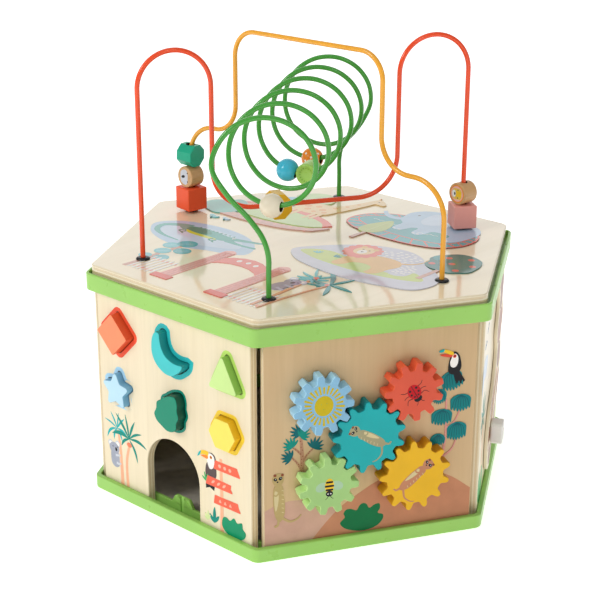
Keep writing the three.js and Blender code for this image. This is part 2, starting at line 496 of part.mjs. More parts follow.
// ------------------------------------------------- side E: road with a slider
const ROAD0 = [-52, 96], ROAD1 = [52, 96];
const sideE = sideFrame(150);
{
  add(sideE, 'panel_road', slab(plate, -PANEL_T, 0, [slot(ROAD0, ROAD1, SLOT_HALF)]), WOOD);
  const [x, y] = ROAD0;
  const car = rounded([[x - 17, y - 9], [x + 17, y - 9], [x + 17, y + 1], [x + 10, y + 3], [x + 5, y + 12], [x - 9, y + 12], [x - 12, y + 3], [x - 17, y + 1]], 2, 2);
  add(sideE, 'slider_car_red', join(slab(car, 0.8, 12.5), slab(circle(x, y, STEM_R, 10), -12.5, 2)), mat(0xe0543a, 0.4));
  add(sideE, 'slider_retainer_e', retainer(ROAD0), mat(0xd9c7a0, 0.6));
}

// --------------------------------------------------------- side F: clock dial
const CLOCK = [0, 108];
const sideF = sideFrame(90);
{
  add(sideF, 'panel_clock', slab(plate, -PANEL_T, 0, [circle(...CLOCK, AXLE_HOLE_R, 10)]), WOOD);
  const hand = (len, w, angle, z0, z1) => {
    const p = [];
    for (let i = 0; i <= 12; i++) { const a = deg(118 + (304 * i) / 12); p.push([8.4 * Math.cos(a), 8.4 * Math.sin(a)]); }
    p.push([w, 9.5], [w * 0.8, len - 14], [w * 2.1, len - 14], [0, len], [-w * 2.1, len - 14], [-w * 0.8, len - 14], [-w, 9.5]);
    const g = slab(p, z0, z1, [circle(0, 0, AXLE_HOLE_R, 10)]);
    g.rotateZ(deg(angle));
    g.translate(CLOCK[0], CLOCK[1], 0);
    return g;
  };
  add(sideF, 'clock_hand_hour', hand(36, 2.8, 60, 0.8, 3.2), mat(0x2b8f8d, 0.4));
  add(sideF, 'clock_hand_minute', hand(52, 2.4, -60, 3.6, 6.0), mat(0xe0543a, 0.4));
  const p = turned([[0, -10.5], [AXLE_R, -10.5], [AXLE_R, 6.4], [7.2, 6.4], [7.2, 7.9], [5.8, 9], [0, 9]], 10);
  p.translate(CLOCK[0], CLOCK[1], 0);
  add(sideF, 'clock_pin', p, mat(0xd9b98a, 0.55));
}

export default root;
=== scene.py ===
import math
import random

import bmesh
import bpy
from mathutils import Matrix, Vector
from mathutils.geometry import tessellate_polygon


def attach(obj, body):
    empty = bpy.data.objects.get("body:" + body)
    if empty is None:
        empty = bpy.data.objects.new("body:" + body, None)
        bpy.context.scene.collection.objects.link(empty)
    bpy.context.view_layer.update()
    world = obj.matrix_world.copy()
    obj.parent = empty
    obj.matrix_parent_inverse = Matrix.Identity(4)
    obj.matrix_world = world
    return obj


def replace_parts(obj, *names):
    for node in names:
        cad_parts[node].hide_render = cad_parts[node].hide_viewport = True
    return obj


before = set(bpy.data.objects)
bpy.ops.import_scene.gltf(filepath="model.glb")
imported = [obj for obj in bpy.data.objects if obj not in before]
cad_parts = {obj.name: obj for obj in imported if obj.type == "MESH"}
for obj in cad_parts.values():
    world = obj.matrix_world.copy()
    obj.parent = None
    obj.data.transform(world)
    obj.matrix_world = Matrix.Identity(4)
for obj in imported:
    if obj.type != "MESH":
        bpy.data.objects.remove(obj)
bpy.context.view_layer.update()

S = 0.001                      # everything below is written in millimetres
scene = bpy.context.scene
rad = math.radians
rnd = random.Random(7)


# ------------------------------------------------------------------ 2-D outlines
def circle(cx, cy, r, n=48, a0=0.0, ry=None):
    ry = r if ry is None else ry
    return [(cx + r * math.cos(a0 + 2 * math.pi * i / n), cy + ry * math.sin(a0 + 2 * math.pi * i / n)) for i in range(n)]


def ellipse(cx, cy, rx, ry, turn=0.0, n=40):
    c, s = math.cos(rad(turn)), math.sin(rad(turn))
    out = []
    for i in range(n):
        a = 2 * math.pi * i / n
        x, y = rx * math.cos(a), ry * math.sin(a)
        out.append((cx + c * x - s * y, cy + s * x + c * y))
    return out


def area(p):
    return 0.5 * sum(p[i][0] * p[(i + 1) % len(p)][1] - p[(i + 1) % len(p)][0] * p[i][1] for i in range(len(p)))


def ccw(p):
    return list(p) if area(p) > 0 else list(p)[::-1]


def offset(p, d):
    """Moves each vertex of a loop to the left of its direction by d."""
    n, out = len(p), []
    for i in range(n):
        a, c, b = p[i - 1], p[i], p[(i + 1) % n]
        e1, e2 = Vector((c[0] - a[0], c[1] - a[1])), Vector((b[0] - c[0], b[1] - c[1]))
        if e1.length < 1e-9:
            e1 = e2.copy()
        if e2.length < 1e-9:
            e2 = e1.copy()
        e1.normalize(), e2.normalize()
        n1, n2 = Vector((-e1.y, e1.x)), Vector((-e2.y, e2.x))
        m = n1 + n2
        m = n1.copy() if m.length < 1e-6 else m.normalized()
        k = d / max(0.5, m.dot(n1))
        out.append((c[0] + m.x * k, c[1] + m.y * k))
    return out


def grow(p, d):
    return offset(ccw(p), -d)


def rounded(pts, r, seg=4):
    out, n = [], len(pts)
    rr_list = r if isinstance(r, (list, tuple)) else [r] * n
    for i in range(n):
        p, c, q = Vector(pts[i - 1]), Vector(pts[i]), Vector(pts[(i + 1) % n])
        u, v = (p - c), (q - c)
        lu, lv = u.length, v.length
        u.normalize(), v.normalize()
        half = math.acos(max(-1, min(1, u.dot(v)))) / 2
        if rr_list[i] <= 0 or half > rad(89.5):
            out.append(tuple(c))
            continue
        t = min(rr_list[i] / math.tan(half), 0.45 * lu, 0.45 * lv)
        k = t * math.tan(half)
        ctr = c + (u + v).normalized() * (k / math.sin(half))
        a, b = c + u * t, c + v * t
        a0 = math.atan2(a.y - ctr.y, a.x - ctr.x)
        da = math.atan2(b.y - ctr.y, b.x - ctr.x) - a0
        while da > math.pi:
            da -= 2 * math.pi
        while da < -math.pi:
            da += 2 * math.pi
        for j in range(seg + 1):
            out.append((ctr.x + k * math.cos(a0 + da * j / seg), ctr.y + k * math.sin(a0 + da * j / seg)))
    return out


def catmull(pts, n, closed=True):
    """Centripetal Catmull-Rom curve through points, n samples evenly spaced."""
    P = [Vector(p) for p in pts]
    m = len(P)
    dense = []
    rng = range(m) if closed else range(m - 1)
    for i in rng:
        if closed:
            p0, p1, p2, p3 = P[i - 1], P[i], P[(i + 1) % m], P[(i + 2) % m]
        else:
            p0 = P[i - 1] if i else P[0] * 2 - P[1]
            p1, p2 = P[i], P[i + 1]
            p3 = P[i + 2] if i + 2 < m else P[-1] * 2 - P[-2]
        t1 = max(1e-4, (p1 - p0).length ** 0.5)
        t2 = t1 + max(1e-4, (p2 - p1).length ** 0.5)
        t3 = t2 + max(1e-4, (p3 - p2).length ** 0.5)
        for j in range(16):
            t = t1 + (t2 - t1) * j / 16
            a1 = p0 * ((t1 - t) / t1) + p1 * (t / t1)
            a2 = p1 * ((t2 - t) / (t2 - t1)) + p2 * ((t - t1) / (t2 - t1))
            a3 = p2 * ((t3 - t) / (t3 - t2)) + p3 * ((t - t2) / (t3 - t2))
            b1 = a1 * ((t2 - t) / t2) + a2 * (t / t2)
            b2 = a2 * ((t3 - t) / (t3 - t1)) + a3 * ((t - t1) / (t3 - t1))
            dense.append(b1 * ((t2 - t) / (t2 - t1)) + b2 * ((t - t1) / (t2 - t1)))
    dense.append(P[0].copy() if closed else P[-1].copy())
    L = [0.0]
    for a, b in zip(dense, dense[1:]):
        L.append(L[-1] + (b - a).length)
    out, k = [], 0
    total = L[-1]
    steps = n if closed else n - 1
    for i in range(n):
        d = total * i / steps
        while k < len(L) - 2 and L[k + 1] < d:
            k += 1
        f = 0 if L[k + 1] == L[k] else (d - L[k]) / (L[k + 1] - L[k])
        out.append(tuple(dense[k].lerp(dense[k + 1], min(1, max(0, f)))))
    return out


def smooth(pts, n=60):
    return [(p[0], p[1]) for p in catmull([(x, y) for x, y in pts], n)]


def leaf(x0, y0, x1, y1, w, bend=0.0, n=9):
    """A pointed leaf from (x0,y0) to (x1,y1), w wide, its spine bowed by bend."""
    dx, dy = x1 - x0, y1 - y0
    L = math.hypot(dx, dy)
    ux, uy = dx / L, dy / L
    top, bot = [], []
    for i in range(n + 1):
        t = i / n
        h = w / 2 * math.sin(math.pi * t) ** 0.75 if 0 < t < 1 else 0.0
        b = bend * math.sin(math.pi * t)
        cx, cy = x0 + ux * L * t - uy * b, y0 + uy * L * t + ux * b
        top.append((cx - uy * h, cy + ux * h))
        if 0 < i < n:
            bot.append((cx + uy * h, cy - ux * h))
    return top + bot[::-1]


def stroke(pts, w0, w1=None, n=16, curved=True):
    """A tapering band along points."""
    w1 = w0 if w1 is None else w1
    c = [Vector(p) for p in (catmull(pts, n, closed=False) if curved and len(pts) > 2 else pts)]
    L, R = [], []
    m = len(c)
    for i in range(m):
        t = (c[min(i + 1, m - 1)] - c[max(i - 1, 0)]).normalized()
        w = (w0 + (w1 - w0) * i / (m - 1)) / 2
        L.append((c[i].x - t.y * w, c[i].y + t.x * w))
        R.append((c[i].x + t.y * w, c[i].y - t.x * w))
    return L + R[::-1]


def box2(x0, y0, x1, y1, r=0.0):
    p = [(x0, y0), (x1, y0), (x1, y1), (x0, y1)]
    return rounded(p, r, 4) if r else p


def scallop(cx, cy, rx, ry, lobes, depth=0.1, n=96, phase=0.0):
    out = []
    for i in range(n):
        a = 2 * math.pi * i / n
        k = 1 - depth + depth * abs(math.sin(lobes * a / 2 + phase))
        out.append((cx + rx * k * math.cos(a), cy + ry * k * math.sin(a)))
    return out


def moved(p, dx=0, dy=0, turn=0, sx=1, sy=None):
    sy = sx if sy is None else sy
    c, s = math.cos(rad(turn)), math.sin(rad(turn))
    return [(dx + c * x * sx - s * y * sy, dy + s * x * sx + c * y * sy) for x, y in p]


# ---------------------------------------------------------------------- meshes
def make(name, V, F, mats, M=None, mi=None, angle=35.0, weighted=True):
    me = bpy.data.meshes.new(name)
    me.from_pydata([(x * S, y * S, z * S) for x, y, z in V], [], F)
    for m in mats:
        me.materials.append(m)
    if mi is not None:
        me.polygons.foreach_set("material_index", mi)
    bm = bmesh.new()
    bm.from_mesh(me)
    bmesh.ops.recalc_face_normals(bm, faces=bm.faces)
    bm.to_mesh(me)
    bm.free()
    ob = bpy.data.objects.new(name, me)
    scene.collection.objects.link(ob)
    if M is not None:
        ob.matrix_world = M
    finish_mesh(ob, angle, weighted)
    return ob


def finish_mesh(ob, angle=35.0, weighted=True):
    me = ob.data
    me.polygons.foreach_set("use_smooth", [True] * len(me.polygons))
    me.set_sharp_from_angle(angle=rad(angle))
    me.update()
    if weighted:
        w = ob.modifiers.new("weighted", "WEIGHTED_NORMAL")
        w.keep_sharp = True
        w.weight = 60


def prism_data(outer, z0, z1, holes=(), bevel=0.6, seg=3, mat=0, bevel_back=None):
    """A plate with rounded edges: vertices, faces, material indices."""
    loops = [ccw(outer)] + [ccw(h)[::-1] for h in holes]
    bb = bevel if bevel_back is None else bevel_back
    prof = []
    if bb > 0:
        prof += [(bb * (1 - math.sin(math.pi / 2 * i / seg)), z0 + bb * (1 - math.cos(math.pi / 2 * i / seg))) for i in range(seg + 1)]
    else:
        prof.append((0, z0))
    if bevel > 0:
        prof += [(bevel * (1 - math.cos(math.pi / 2 * i / seg)), z1 - bevel * (1 - math.sin(math.pi / 2 * i / seg))) for i in range(seg + 1)]
    else:
        prof.append((0, z1))
    V, F, rings = [], [], []
    for lp in loops:
        rr = []
        for d, z in prof:
            ring = offset(lp, d) if d > 0 else lp
            rr.append(list(range(len(V), len(V) + len(lp))))
            V += [(x, y, z) for x, y in ring]
        rings.append(rr)
        n = len(lp)
        for a, b in zip(rr, rr[1:]):
            for i in range(n):
                F.append((a[i], a[(i + 1) % n], b[(i + 1) % n], b[i]))
    for which in (0, -1):
        idx = [i for rr in rings for i in rr[which]]
        tris = tessellate_polygon([[Vector((V[i][0], V[i][1], 0)) for i in rr[which]] for rr in rings])
        for t in tris:
            f = [idx[i] for i in t]
            ax, ay, _ = V[f[0]]
            bx, by, _ = V[f[1]]
            cx, cy, _ = V[f[2]]
            up = (bx - ax) * (cy - ay) - (by - ay) * (cx - ax)
            if abs(up) < 1e-12:
                continue
            if (up > 0) != (which == -1):
                f = f[::-1]
            F.append(tuple(f))
    return V, F, [mat] * len(F)


def prism(name, outer, z0, z1, mats, M, holes=(), bevel=0.6, seg=3, **k):
    V, F, mi = prism_data(outer, z0, z1, holes, bevel, seg, **k)
    return make(name, V, F, mats if isinstance(mats, list) else [mats], M, mi)


class Film:
    """Printed paint: thin closed plates, later ones over earlier ones, gathered in one piece."""

    def __init__(self, name, M, base):
        self.name, self.M, self.base = name, M, base
        self.V, self.F, self.mi, self.mats, self.layer = [], [], [], [], 0

    def put(self, outline, material, holes=(), level=None):
        if material not in self.mats:
            self.mats.append(material)
        k = self.mats.index(material)
        if level is None:
            self.layer += 1
            level = self.layer
        z1 = self.base + 0.035 + 0.0045 * level
        V, F, _ = prism_data(outline, self.base + 0.005, z1, holes, 0, 1)
        b = len(self.V)
        self.V += V
        self.F += [tuple(i + b for i in f) for f in F]
        self.mi += [k] * len(F)
        return self

    def done(self, body):
        ob = make(self.name, self.V, self.F, self.mats, self.M, self.mi, 20, False)
        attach(ob, body)
        return ob


def tube_data(points, r, sides=20):
    P = [Vector(p) for p in points]
    n = len(P)
    T = []
    for i in range(n):
        u = (P[i] - P[i - 1]).normalized() if i else (P[1] - P[0]).normalized()
        v = (P[i + 1] - P[i]).normalized() if i < n - 1 else u
        T.append((u + v).normalized())
    up = Vector((0, 0, 1)) if abs(T[0].z) < 0.9 else Vector((1, 0, 0))
    N = T[0].cross(up).normalized()
    V, F = [], []
    for i in range(n):
        N = (N - T[i] * N.dot(T[i])).normalized()
        B = T[i].cross(N)
        for k in range(sides):
            a = 2 * math.pi * k / sides
            q = P[i] + N * (r * math.cos(a)) + B * (r * math.sin(a))
            V.append(tuple(q))
    for i in range(n - 1):
        for k in range(sides):
            a, b = i * sides + k, i * sides + (k + 1) % sides
            F.append((a, b, b + sides, a + sides))
    F.append(tuple(range(sides))[::-1])
    F.append(tuple((n - 1) * sides + k for k in range(sides)))
    return V, F


def lathe_data(profile, seg=48, closed=False):
    V, F, rows = [], [], []
    for r, z in profile:
        if r < 1e-6:
            rows.append([len(V)])
            V.append((0, 0, z))
        else:
            rows.append(list(range(len(V), len(V) + seg)))
            V += [(r * math.cos(2 * math.pi * i / seg), r * math.sin(2 * math.pi * i / seg), z) for i in range(seg)]
    pairs = list(zip(rows, rows[1:])) + ([(rows[-1], rows[0])] if closed else [])
    for a, b in pairs:
        for i in range(seg):
            j = (i + 1) % seg
            if len(a) == 1 and len(b) == 1:
                continue
            if len(a) == 1:
                F.append((a[0], b[j], b[i]))
            elif len(b) == 1:
                F.append((a[i], a[j], b[0]))
            else:
                F.append((a[i], a[j], b[j], b[i]))
    return V, F


def lathe(name, profile, mats, M, seg=48, closed=False, angle=40):
    V, F = lathe_data(profile, seg, closed)
    return make(name, V, F, mats if isinstance(mats, list) else [mats], M, None, angle)


def boolean(ob, cutters, op="DIFFERENCE"):
    for c in cutters:
        m = ob.modifiers.new("b", "BOOLEAN")
        m.operation, m.solver, m.object = op, "EXACT", c
    dg = bpy.context.evaluated_depsgraph_get()
    dg.update()
    me = bpy.data.meshes.new_from_object(ob.evaluated_get(dg))
    ob.modifiers.clear()
    ob.data = me
    for c in cutters:
        bpy.data.objects.remove(c)
    return ob


def frame_matrix(pos, axis_z, axis_x):
    z = Vector(axis_z).normalized()
    x = Vector(axis_x)
    x = (x - z * x.dot(z)).normalized()
    y = z.cross(x)
    M = Matrix((x, y, z)).transposed().to_4x4()
    M.translation = Vector(pos) * S
    return M


def side_matrix(angle, out=170.0):
    n = Vector((math.cos(rad(angle)), math.sin(rad(angle)), 0))
    t = Vector((-math.sin(rad(angle)), math.cos(rad(angle)), 0))
    M = Matrix((t, Vector((0, 0, 1)), n)).transposed().to_4x4()
    M.translation = n * out * S
    return M


# -------------------------------------------------------------------- materials
def lin(c):
    if isinstance(c, str):
        c = tuple(int(c[i:i + 2], 16) for i in (0, 2, 4))
    c = [v / 255 for v in c]
    return [v / 12.92 if v <= 0.04045 else ((v + 0.055) / 1.055) ** 2.4 for v in c] + [1.0]


def scaled(c, k):
    return [min(1.0, c[0] * k), min(1.0, c[1] * k), min(1.0, c[2] * k), 1.0]


class Mat:
    def __init__(self, name, rough=0.4, spec=0.5, coat=0.0, coat_rough=0.1):
        self.m = bpy.data.materials.new(name)
        self.m.use_nodes = True
        self.nt = self.m.node_tree
        self.b = self.nt.nodes["Principled BSDF"]
        self.b.inputs["Roughness"].default_value = rough
        self.b.inputs["Specular IOR Level"].default_value = spec
        self.b.inputs["Coat Weight"].default_value = coat
        self.b.inputs["Coat Roughness"].default_value = coat_rough
        self.tc = self.nt.nodes.new("ShaderNodeTexCoord")

    def n(self, kind, **k):
        node = self.nt.nodes.new(kind)
        for a, v in k.items():
            setattr(node, a, v)
        return node

    def link(self, a, b):
        self.nt.links.new(a, b)

    def mapping(self, scale, out="Object", rot=(0, 0, 0)):
        mp = self.n("ShaderNodeMapping")
        mp.inputs["Scale"].default_value = scale
        mp.inputs["Rotation"].default_value = rot
        self.link(self.tc.outputs[out], mp.inputs["Vector"])
        return mp.outputs["Vector"]

    def noise(self, vec, scale, detail=3.0, rough=0.55, distortion=0.0):
        t = self.n("ShaderNodeTexNoise")
        t.inputs["Scale"].default_value = scale
        t.inputs["Detail"].default_value = detail
        t.inputs["Roughness"].default_value = rough
        t.inputs["Distortion"].default_value = distortion
        self.link(vec, t.inputs["Vector"])
        return t.outputs["Fac"]

    def ramp(self, fac, stops, interp="LINEAR"):
        r = self.n("ShaderNodeValToRGB")
        r.color_ramp.interpolation = interp
        e = r.color_ramp.elements
        while len(e) < len(stops):
            e.new(0.5)
        for el, (p, c) in zip(e, stops):
            el.position, el.color = p, c
        self.link(fac, r.inputs["Fac"])
        return r.outputs["Color"]

    def math(self, op, a, b=None, clamp=False):
        m = self.n("ShaderNodeMath", operation=op, use_clamp=clamp)
        for i, v in enumerate((a, b)):
            if v is None:
                continue
            if isinstance(v, (int, float)):
                m.inputs[i].default_value = v
            else:
                self.link(v, m.inputs[i])
        return m.outputs[0]

    def mix(self, fac, a, b, blend="MIX"):
        m = self.n("ShaderNodeMix", data_type="RGBA", blend_type=blend)
        for sock, v in ((m.inputs[0], fac), (m.inputs[6], a), (m.inputs[7], b)):
            if isinstance(v, (int, float)):
                sock.default_value = v
            elif isinstance(v, (list, tuple)):
                sock.default_value = v
            else:
                self.link(v, sock)
        return m.outputs[2]

    def xyz(self, out="Object"):
        s = self.n("ShaderNodeSeparateXYZ")
        self.link(self.tc.outputs[out], s.inputs[0])
        return s.outputs

    def color(self, sock):
        self.link(sock, self.b.inputs["Base Color"])

    def rough(self, fac, lo, hi):
        self.link(self.ramp(fac, [(0.25, [lo, lo, lo, 1]), (0.75, [hi, hi, hi, 1])]), self.b.inputs["Roughness"])

    def bump(self, pairs):
        """pairs of (height socket, strength, distance in mm)."""
        prev = None
        for h, st, d in pairs:
            b = self.n("ShaderNodeBump")
            b.inputs["Strength"].default_value = st
            b.inputs["Distance"].default_value = d * S
            self.link(h, b.inputs["Height"])
            if prev is not None:
                self.link(prev, b.inputs["Normal"])
            prev = b.outputs["Normal"]
        self.link(prev, self.b.inputs["Normal"])


_cache = {}


def paint(name, c, rough=0.36, coat=0.25, grain=0.35, var=0.05):
    """Toy paint over wood: faint grain under the film, orange peel, small tone changes."""
    if name in _cache:
        return _cache[name]
    m = Mat(name, rough, 0.24, coat * 0.35, 0.12)
    base = lin(c)
    v = m.mapping((1, 1, 1))
    n1 = m.noise(v, 38, 3)
    n2 = m.noise(m.mapping((260, 26, 90)), 1.6, 4, 0.6)
    col = m.ramp(n1, [(0.3, scaled(base, 1 - var)), (0.7, scaled(base, 1 + var))])
    col = m.mix(m.math("MULTIPLY", n2, 0.16), col, scaled(base, 0.86))
    m.color(col)
    m.rough(m.noise(v, 150, 2), max(0.05, rough - 0.06), rough + 0.08)
    m.bump([(n2, grain * 0.35, 0.12), (m.noise(v, 900, 2), 0.10, 0.06)])
    _cache[name] = m.m
    return m.m


def ink(name, c, rough=0.30, coat=0.35, var=0.07):
    """Printed ink under clear lacquer, with the wood's grain just showing."""
    if name in _cache:
        return _cache[name]
    m = Mat(name, rough, 0.14, coat * 0.12, 0.10)
    base = lin(c)
    n1 = m.noise(m.mapping((1, 1, 1)), 60, 3)
    n2 = m.noise(m.mapping((420, 30, 30)), 1.0, 4, 0.6)
    col = m.ramp(n1, [(0.3, scaled(base, 1 - var)), (0.7, scaled(base, 1 + var))])
    col = m.mix(m.math("MULTIPLY", n2, 0.2), col, scaled(base, 0.88))
    m.color(col)
    m.bump([(m.noise(m.mapping((1, 1, 1)), 700, 2), 0.06, 0.05)])
    _cache[name] = m.m
    return m.m


def ply(name, face_lo, face_hi, z0, z1, layers=5, rough=0.30, coat=0.35, coat_rough=0.08, grain_axis="y", streak=0.5):
    """Lacquered plywood: veneer grain on the two faces, glued plies along the cut edges (object Z is the thickness)."""
    m = Mat(name, rough, 0.5, coat, coat_rough)
    lo, hi = lin(face_lo), lin(face_hi)
    sc = (190, 7, 60) if grain_axis == "y" else (7, 190, 60)
    wide = (34, 2.2, 10) if grain_axis == "y" else (2.2, 34, 10)
    fine = m.noise(m.mapping(sc), 1.0, 5, 0.62, 0.4)
    bands = m.noise(m.mapping(wide), 1.0, 3, 0.5, 0.8)
    pores = m.noise(m.mapping((sc[0] * 6, sc[1] * 3, 300) if grain_axis == "y" else (sc[0] * 3, sc[1] * 6, 300)), 1.0, 2, 0.5)
    col = m.mix(m.ramp(bands, [(0.3, [0, 0, 0, 1]), (0.72, [1, 1, 1, 1])]), lo, hi)
    col = m.mix(m.math("MULTIPLY", m.ramp(fine, [(0.42, [0, 0, 0, 1]), (0.7, [1, 1, 1, 1])]), streak), col, scaled(lo, 0.86))
    col = m.mix(m.ramp(pores, [(0.68, [0, 0, 0, 1]), (0.78, [0.35, 0.35, 0.35, 1])]), col, scaled(lo, 0.72))
    # cut edge
    x, y, z = m.xyz()
    wob = m.noise(m.mapping((18, 18, 18)), 1.0, 2)
    t = m.math("DIVIDE", m.math("SUBTRACT", z, z0 * S), (z1 - z0) * S)
    t = m.math("ADD", t, m.math("MULTIPLY", m.math("SUBTRACT", wob, 0.5), 0.05))
    edge_a, edge_b = lin((238, 225, 194)), lin((222, 200, 160))
    stops = []
    for i in range(layers):
        a = i / layers
        c = edge_a if i % 2 == 0 else edge_b
        stops.append((a, c))
        if i:
            stops.insert(-1, (max(0, a - 0.012), lin((188, 160, 118))))
    e = m.ramp(t, stops[:31], "CONSTANT")
    ef = m.noise(m.mapping((500, 500, 90)), 1.0, 3)
    e = m.mix(m.math("MULTIPLY", ef, 0.22), e, lin((196, 166, 120)))
    nx, ny, nz = m.xyz("Normal")
    face = m.math("GREATER_THAN", m.math("ABSOLUTE", nz), 0.72)
    m.color(m.mix(face, e, col))
    m.bump([(fine, 0.12, 0.08), (m.noise(m.mapping((1, 1, 1)), 260, 2), 0.05, 0.1)])
    return m.m


def plastic(name, c, rough=0.30):
    m = Mat(name, rough, 0.36, 0.08, 0.15)
    base = lin(c)
    v = m.mapping((1, 1, 1))
    n1 = m.noise(v, 14, 2)
    m.color(m.ramp(n1, [(0.3, scaled(base, 0.96)), (0.7, scaled(base, 1.04))]))
    m.rough(m.noise(v, 90, 3), rough - 0.05, rough + 0.08)
    m.bump([(m.noise(v, 1600, 2), 0.10, 0.04), (m.noise(m.mapping((3, 3, 30)), 5, 2), 0.05, 0.3)])
    m.b.inputs["Subsurface Weight"].default_value = 0.04
    m.b.inputs["Subsurface Radius"].default_value = (0.004, 0.006, 0.002)
    return m.m


def powder(name, c):
    m = Mat(name, 0.22, 0.4, 0.35, 0.07)
    base = lin(c)
    v = m.mapping((1, 1, 1))
    m.color(m.ramp(m.noise(v, 45, 3), [(0.3, scaled(base, 0.93)), (0.7, scaled(base, 1.05))]))
    m.rough(m.noise(v, 240, 2), 0.16, 0.28)
    m.bump([(m.noise(v, 1100, 2), 0.10, 0.06)])
    return m.m


def raw_wood(name, lo, hi, axis=1, rough=0.45):
    m = Mat(name, rough, 0.4, 0.15, 0.2)
    sc = [260, 260, 260]
    sc[axis] = 14
    f = m.noise(m.mapping(tuple(sc)), 1.0, 5, 0.6, 0.3)
    sc2 = [60, 60, 60]
    sc2[axis] = 5
    b = m.noise(m.mapping(tuple(sc2)), 1.0, 3, 0.5, 1.2)
    col = m.mix(b, lin(lo), lin(hi))
    col = m.mix(m.math("MULTIPLY", m.ramp(f, [(0.45, [0, 0, 0, 1]), (0.7, [1, 1, 1, 1])]), 0.55), col, scaled(lin(lo), 0.72))
    m.color(col)
    m.bump([(f, 0.25, 0.08)])
    return m.m


# ------------------------------------------------------------ camera, light, floor
cam_data = bpy.data.cameras.new("camera")
cam = bpy.data.objects.new("camera", cam_data)
scene.collection.objects.link(cam)
scene.camera = cam
cam_data.sensor_width = 36
cam_data.lens = 86.02
cam_data.clip_start, cam_data.clip_end = 0.05, 60
back = Vector((0.62975, -0.69590, 0.34516)).normalized()
right = Vector((0.74147, 0.67099, 0)).normalized()
up = back.cross(right)
roll = rad(0.198)
r2 = right * math.cos(roll) + up * math.sin(roll)
u2 = up * math.cos(roll) - right * math.sin(roll)
M = Matrix((r2, u2, back)).transposed().to_4x4()
M.translation = Vector((0.82245, -0.91748, 0.61440))
cam.matrix_world = M

scene.view_settings.view_transform = "Standard"
scene.view_settings.look = "None"
scene.view_settings.exposure = 0
scene.view_settings.gamma = 1

world = bpy.data.worlds.new("studio")
scene.world = world
world.use_nodes = True
wn = world.node_tree
bg = wn.nodes["Background"]
bg.inputs["Color"].default_value = (1, 0.995, 0.985, 1)
bg.inputs["Strength"].default_value = 0.42


def area_light(name, az, el, dist, size, power, color=(1, 1, 1), aim=(0, 0, 0.16)):
    d = bpy.data.lights.new(name, "AREA")
    d.shape, d.size, d.energy, d.color = "SQUARE", size, power, color
    o = bpy.data.objects.new(name, d)
    scene.collection.objects.link(o)
    v = Vector((math.sin(rad(az)) * math.cos(rad(el)), -math.cos(rad(az)) * math.cos(rad(el)), math.sin(rad(el))))
    o.location = Vector(aim) + v * dist
    o.rotation_euler = v.to_track_quat("Z", "Y").to_euler()
    return o


area_light("key", -20, 34, 2.8, 0.9, 25, (1.0, 0.985, 0.955))
area_light("fill", 66, 30, 3.0, 0.6, 6, (1.0, 0.985, 0.96))
area_light("top", 20, 80, 2.6, 2.4, 8)
area_light("back", -138, 20, 3.0, 2.5, 16)

floor_mat = Mat("floor_paint", 0.8, 0.2)
floor_mat.b.inputs["Emission Color"].default_value = (1, 1, 1, 1)
floor_mat.b.inputs["Emission Strength"].default_value = 0.62
floor_mat.color(floor_mat.ramp(floor_mat.noise(floor_mat.mapping((1, 1, 1)), 6, 3), [(0.3, [0.93, 0.93, 0.93, 1]), (0.7, [0.95, 0.95, 0.95, 1])]))
bm = bmesh.new()
bmesh.ops.create_circle(bm, cap_ends=True, radius=50, segments=96)
fm = bpy.data.meshes.new("floor")
bm.to_mesh(fm)
bm.free()
fm.materials.append(floor_mat.m)
floor = bpy.data.objects.new("floor", fm)
scene.collection.objects.link(floor)
floor.location = (0, 0, -0.0002)

# ------------------------------------------------------------------- palette
WOOD_A = ply("ply_sorter", (232, 217, 184), (239, 226, 197), -8, 0, 5, 0.36, 0.1, streak=0.3)
# side B: the same plywood as side A, made darker and browner: painted shade for the side that stands out of the key
# light
WOOD_B_PAINTED_SHADE = ply("ply_gears_painted_shade", (202, 170, 126), (212, 182, 139), -8, 0, 5, 0.40, 0.05, streak=0.25)
for w_ in (WOOD_A, WOOD_B_PAINTED_SHADE):
    w_.node_tree.nodes["Principled BSDF"].inputs["Specular IOR Level"].default_value = 0.25
WOOD_C = ply("ply_track", (238, 223, 190), (248, 237, 212), -8, 0, 5, 0.34, 0.3)
TOP_IOR = 1.6
WOOD_TOP = ply("ply_top", (239, 224, 188), (247, 233, 202), 201.4, 213.4, 7, 0.40, 1.0, 0.08, "y", 0.16)
WOOD_TOP.node_tree.nodes["Principled BSDF"].inputs["Coat IOR"].default_value = TOP_IOR
GREEN = plastic("green_plastic", "98cc62")
BLACK = plastic("black_plastic", "17181a", 0.26)
RED_W, YEL_W, GRN_W = powder("wire_red_coat", "ee4a12"), powder("wire_yellow_coat", "f0a92c"), powder("wire_green_coat", "3f9a33")
# near-black brown for the inside of the bead holes: painted shade in the bores
BORE_PAINTED_SHADE = paint("bore_painted_shade", "3a2a1c", 0.7, 0.0)
NAT = raw_wood("turned_wood", (205, 164, 112), (224, 188, 140), 1)
BEADWOOD = raw_wood("bead_wood", (196, 150, 98), (219, 176, 124), 1, 0.4)
GREY = Mat("grey_board", 0.6, 0.3)
GREY.color(GREY.ramp(GREY.noise(GREY.mapping((1, 1, 1)), 120, 4), [(0.3, lin("b3aea4")), (0.7, lin("c4bfb4"))]))
GREY.bump([(GREY.noise(GREY.mapping((1, 1, 1)), 900, 3), 0.15, 0.1)])
GREY = GREY.m

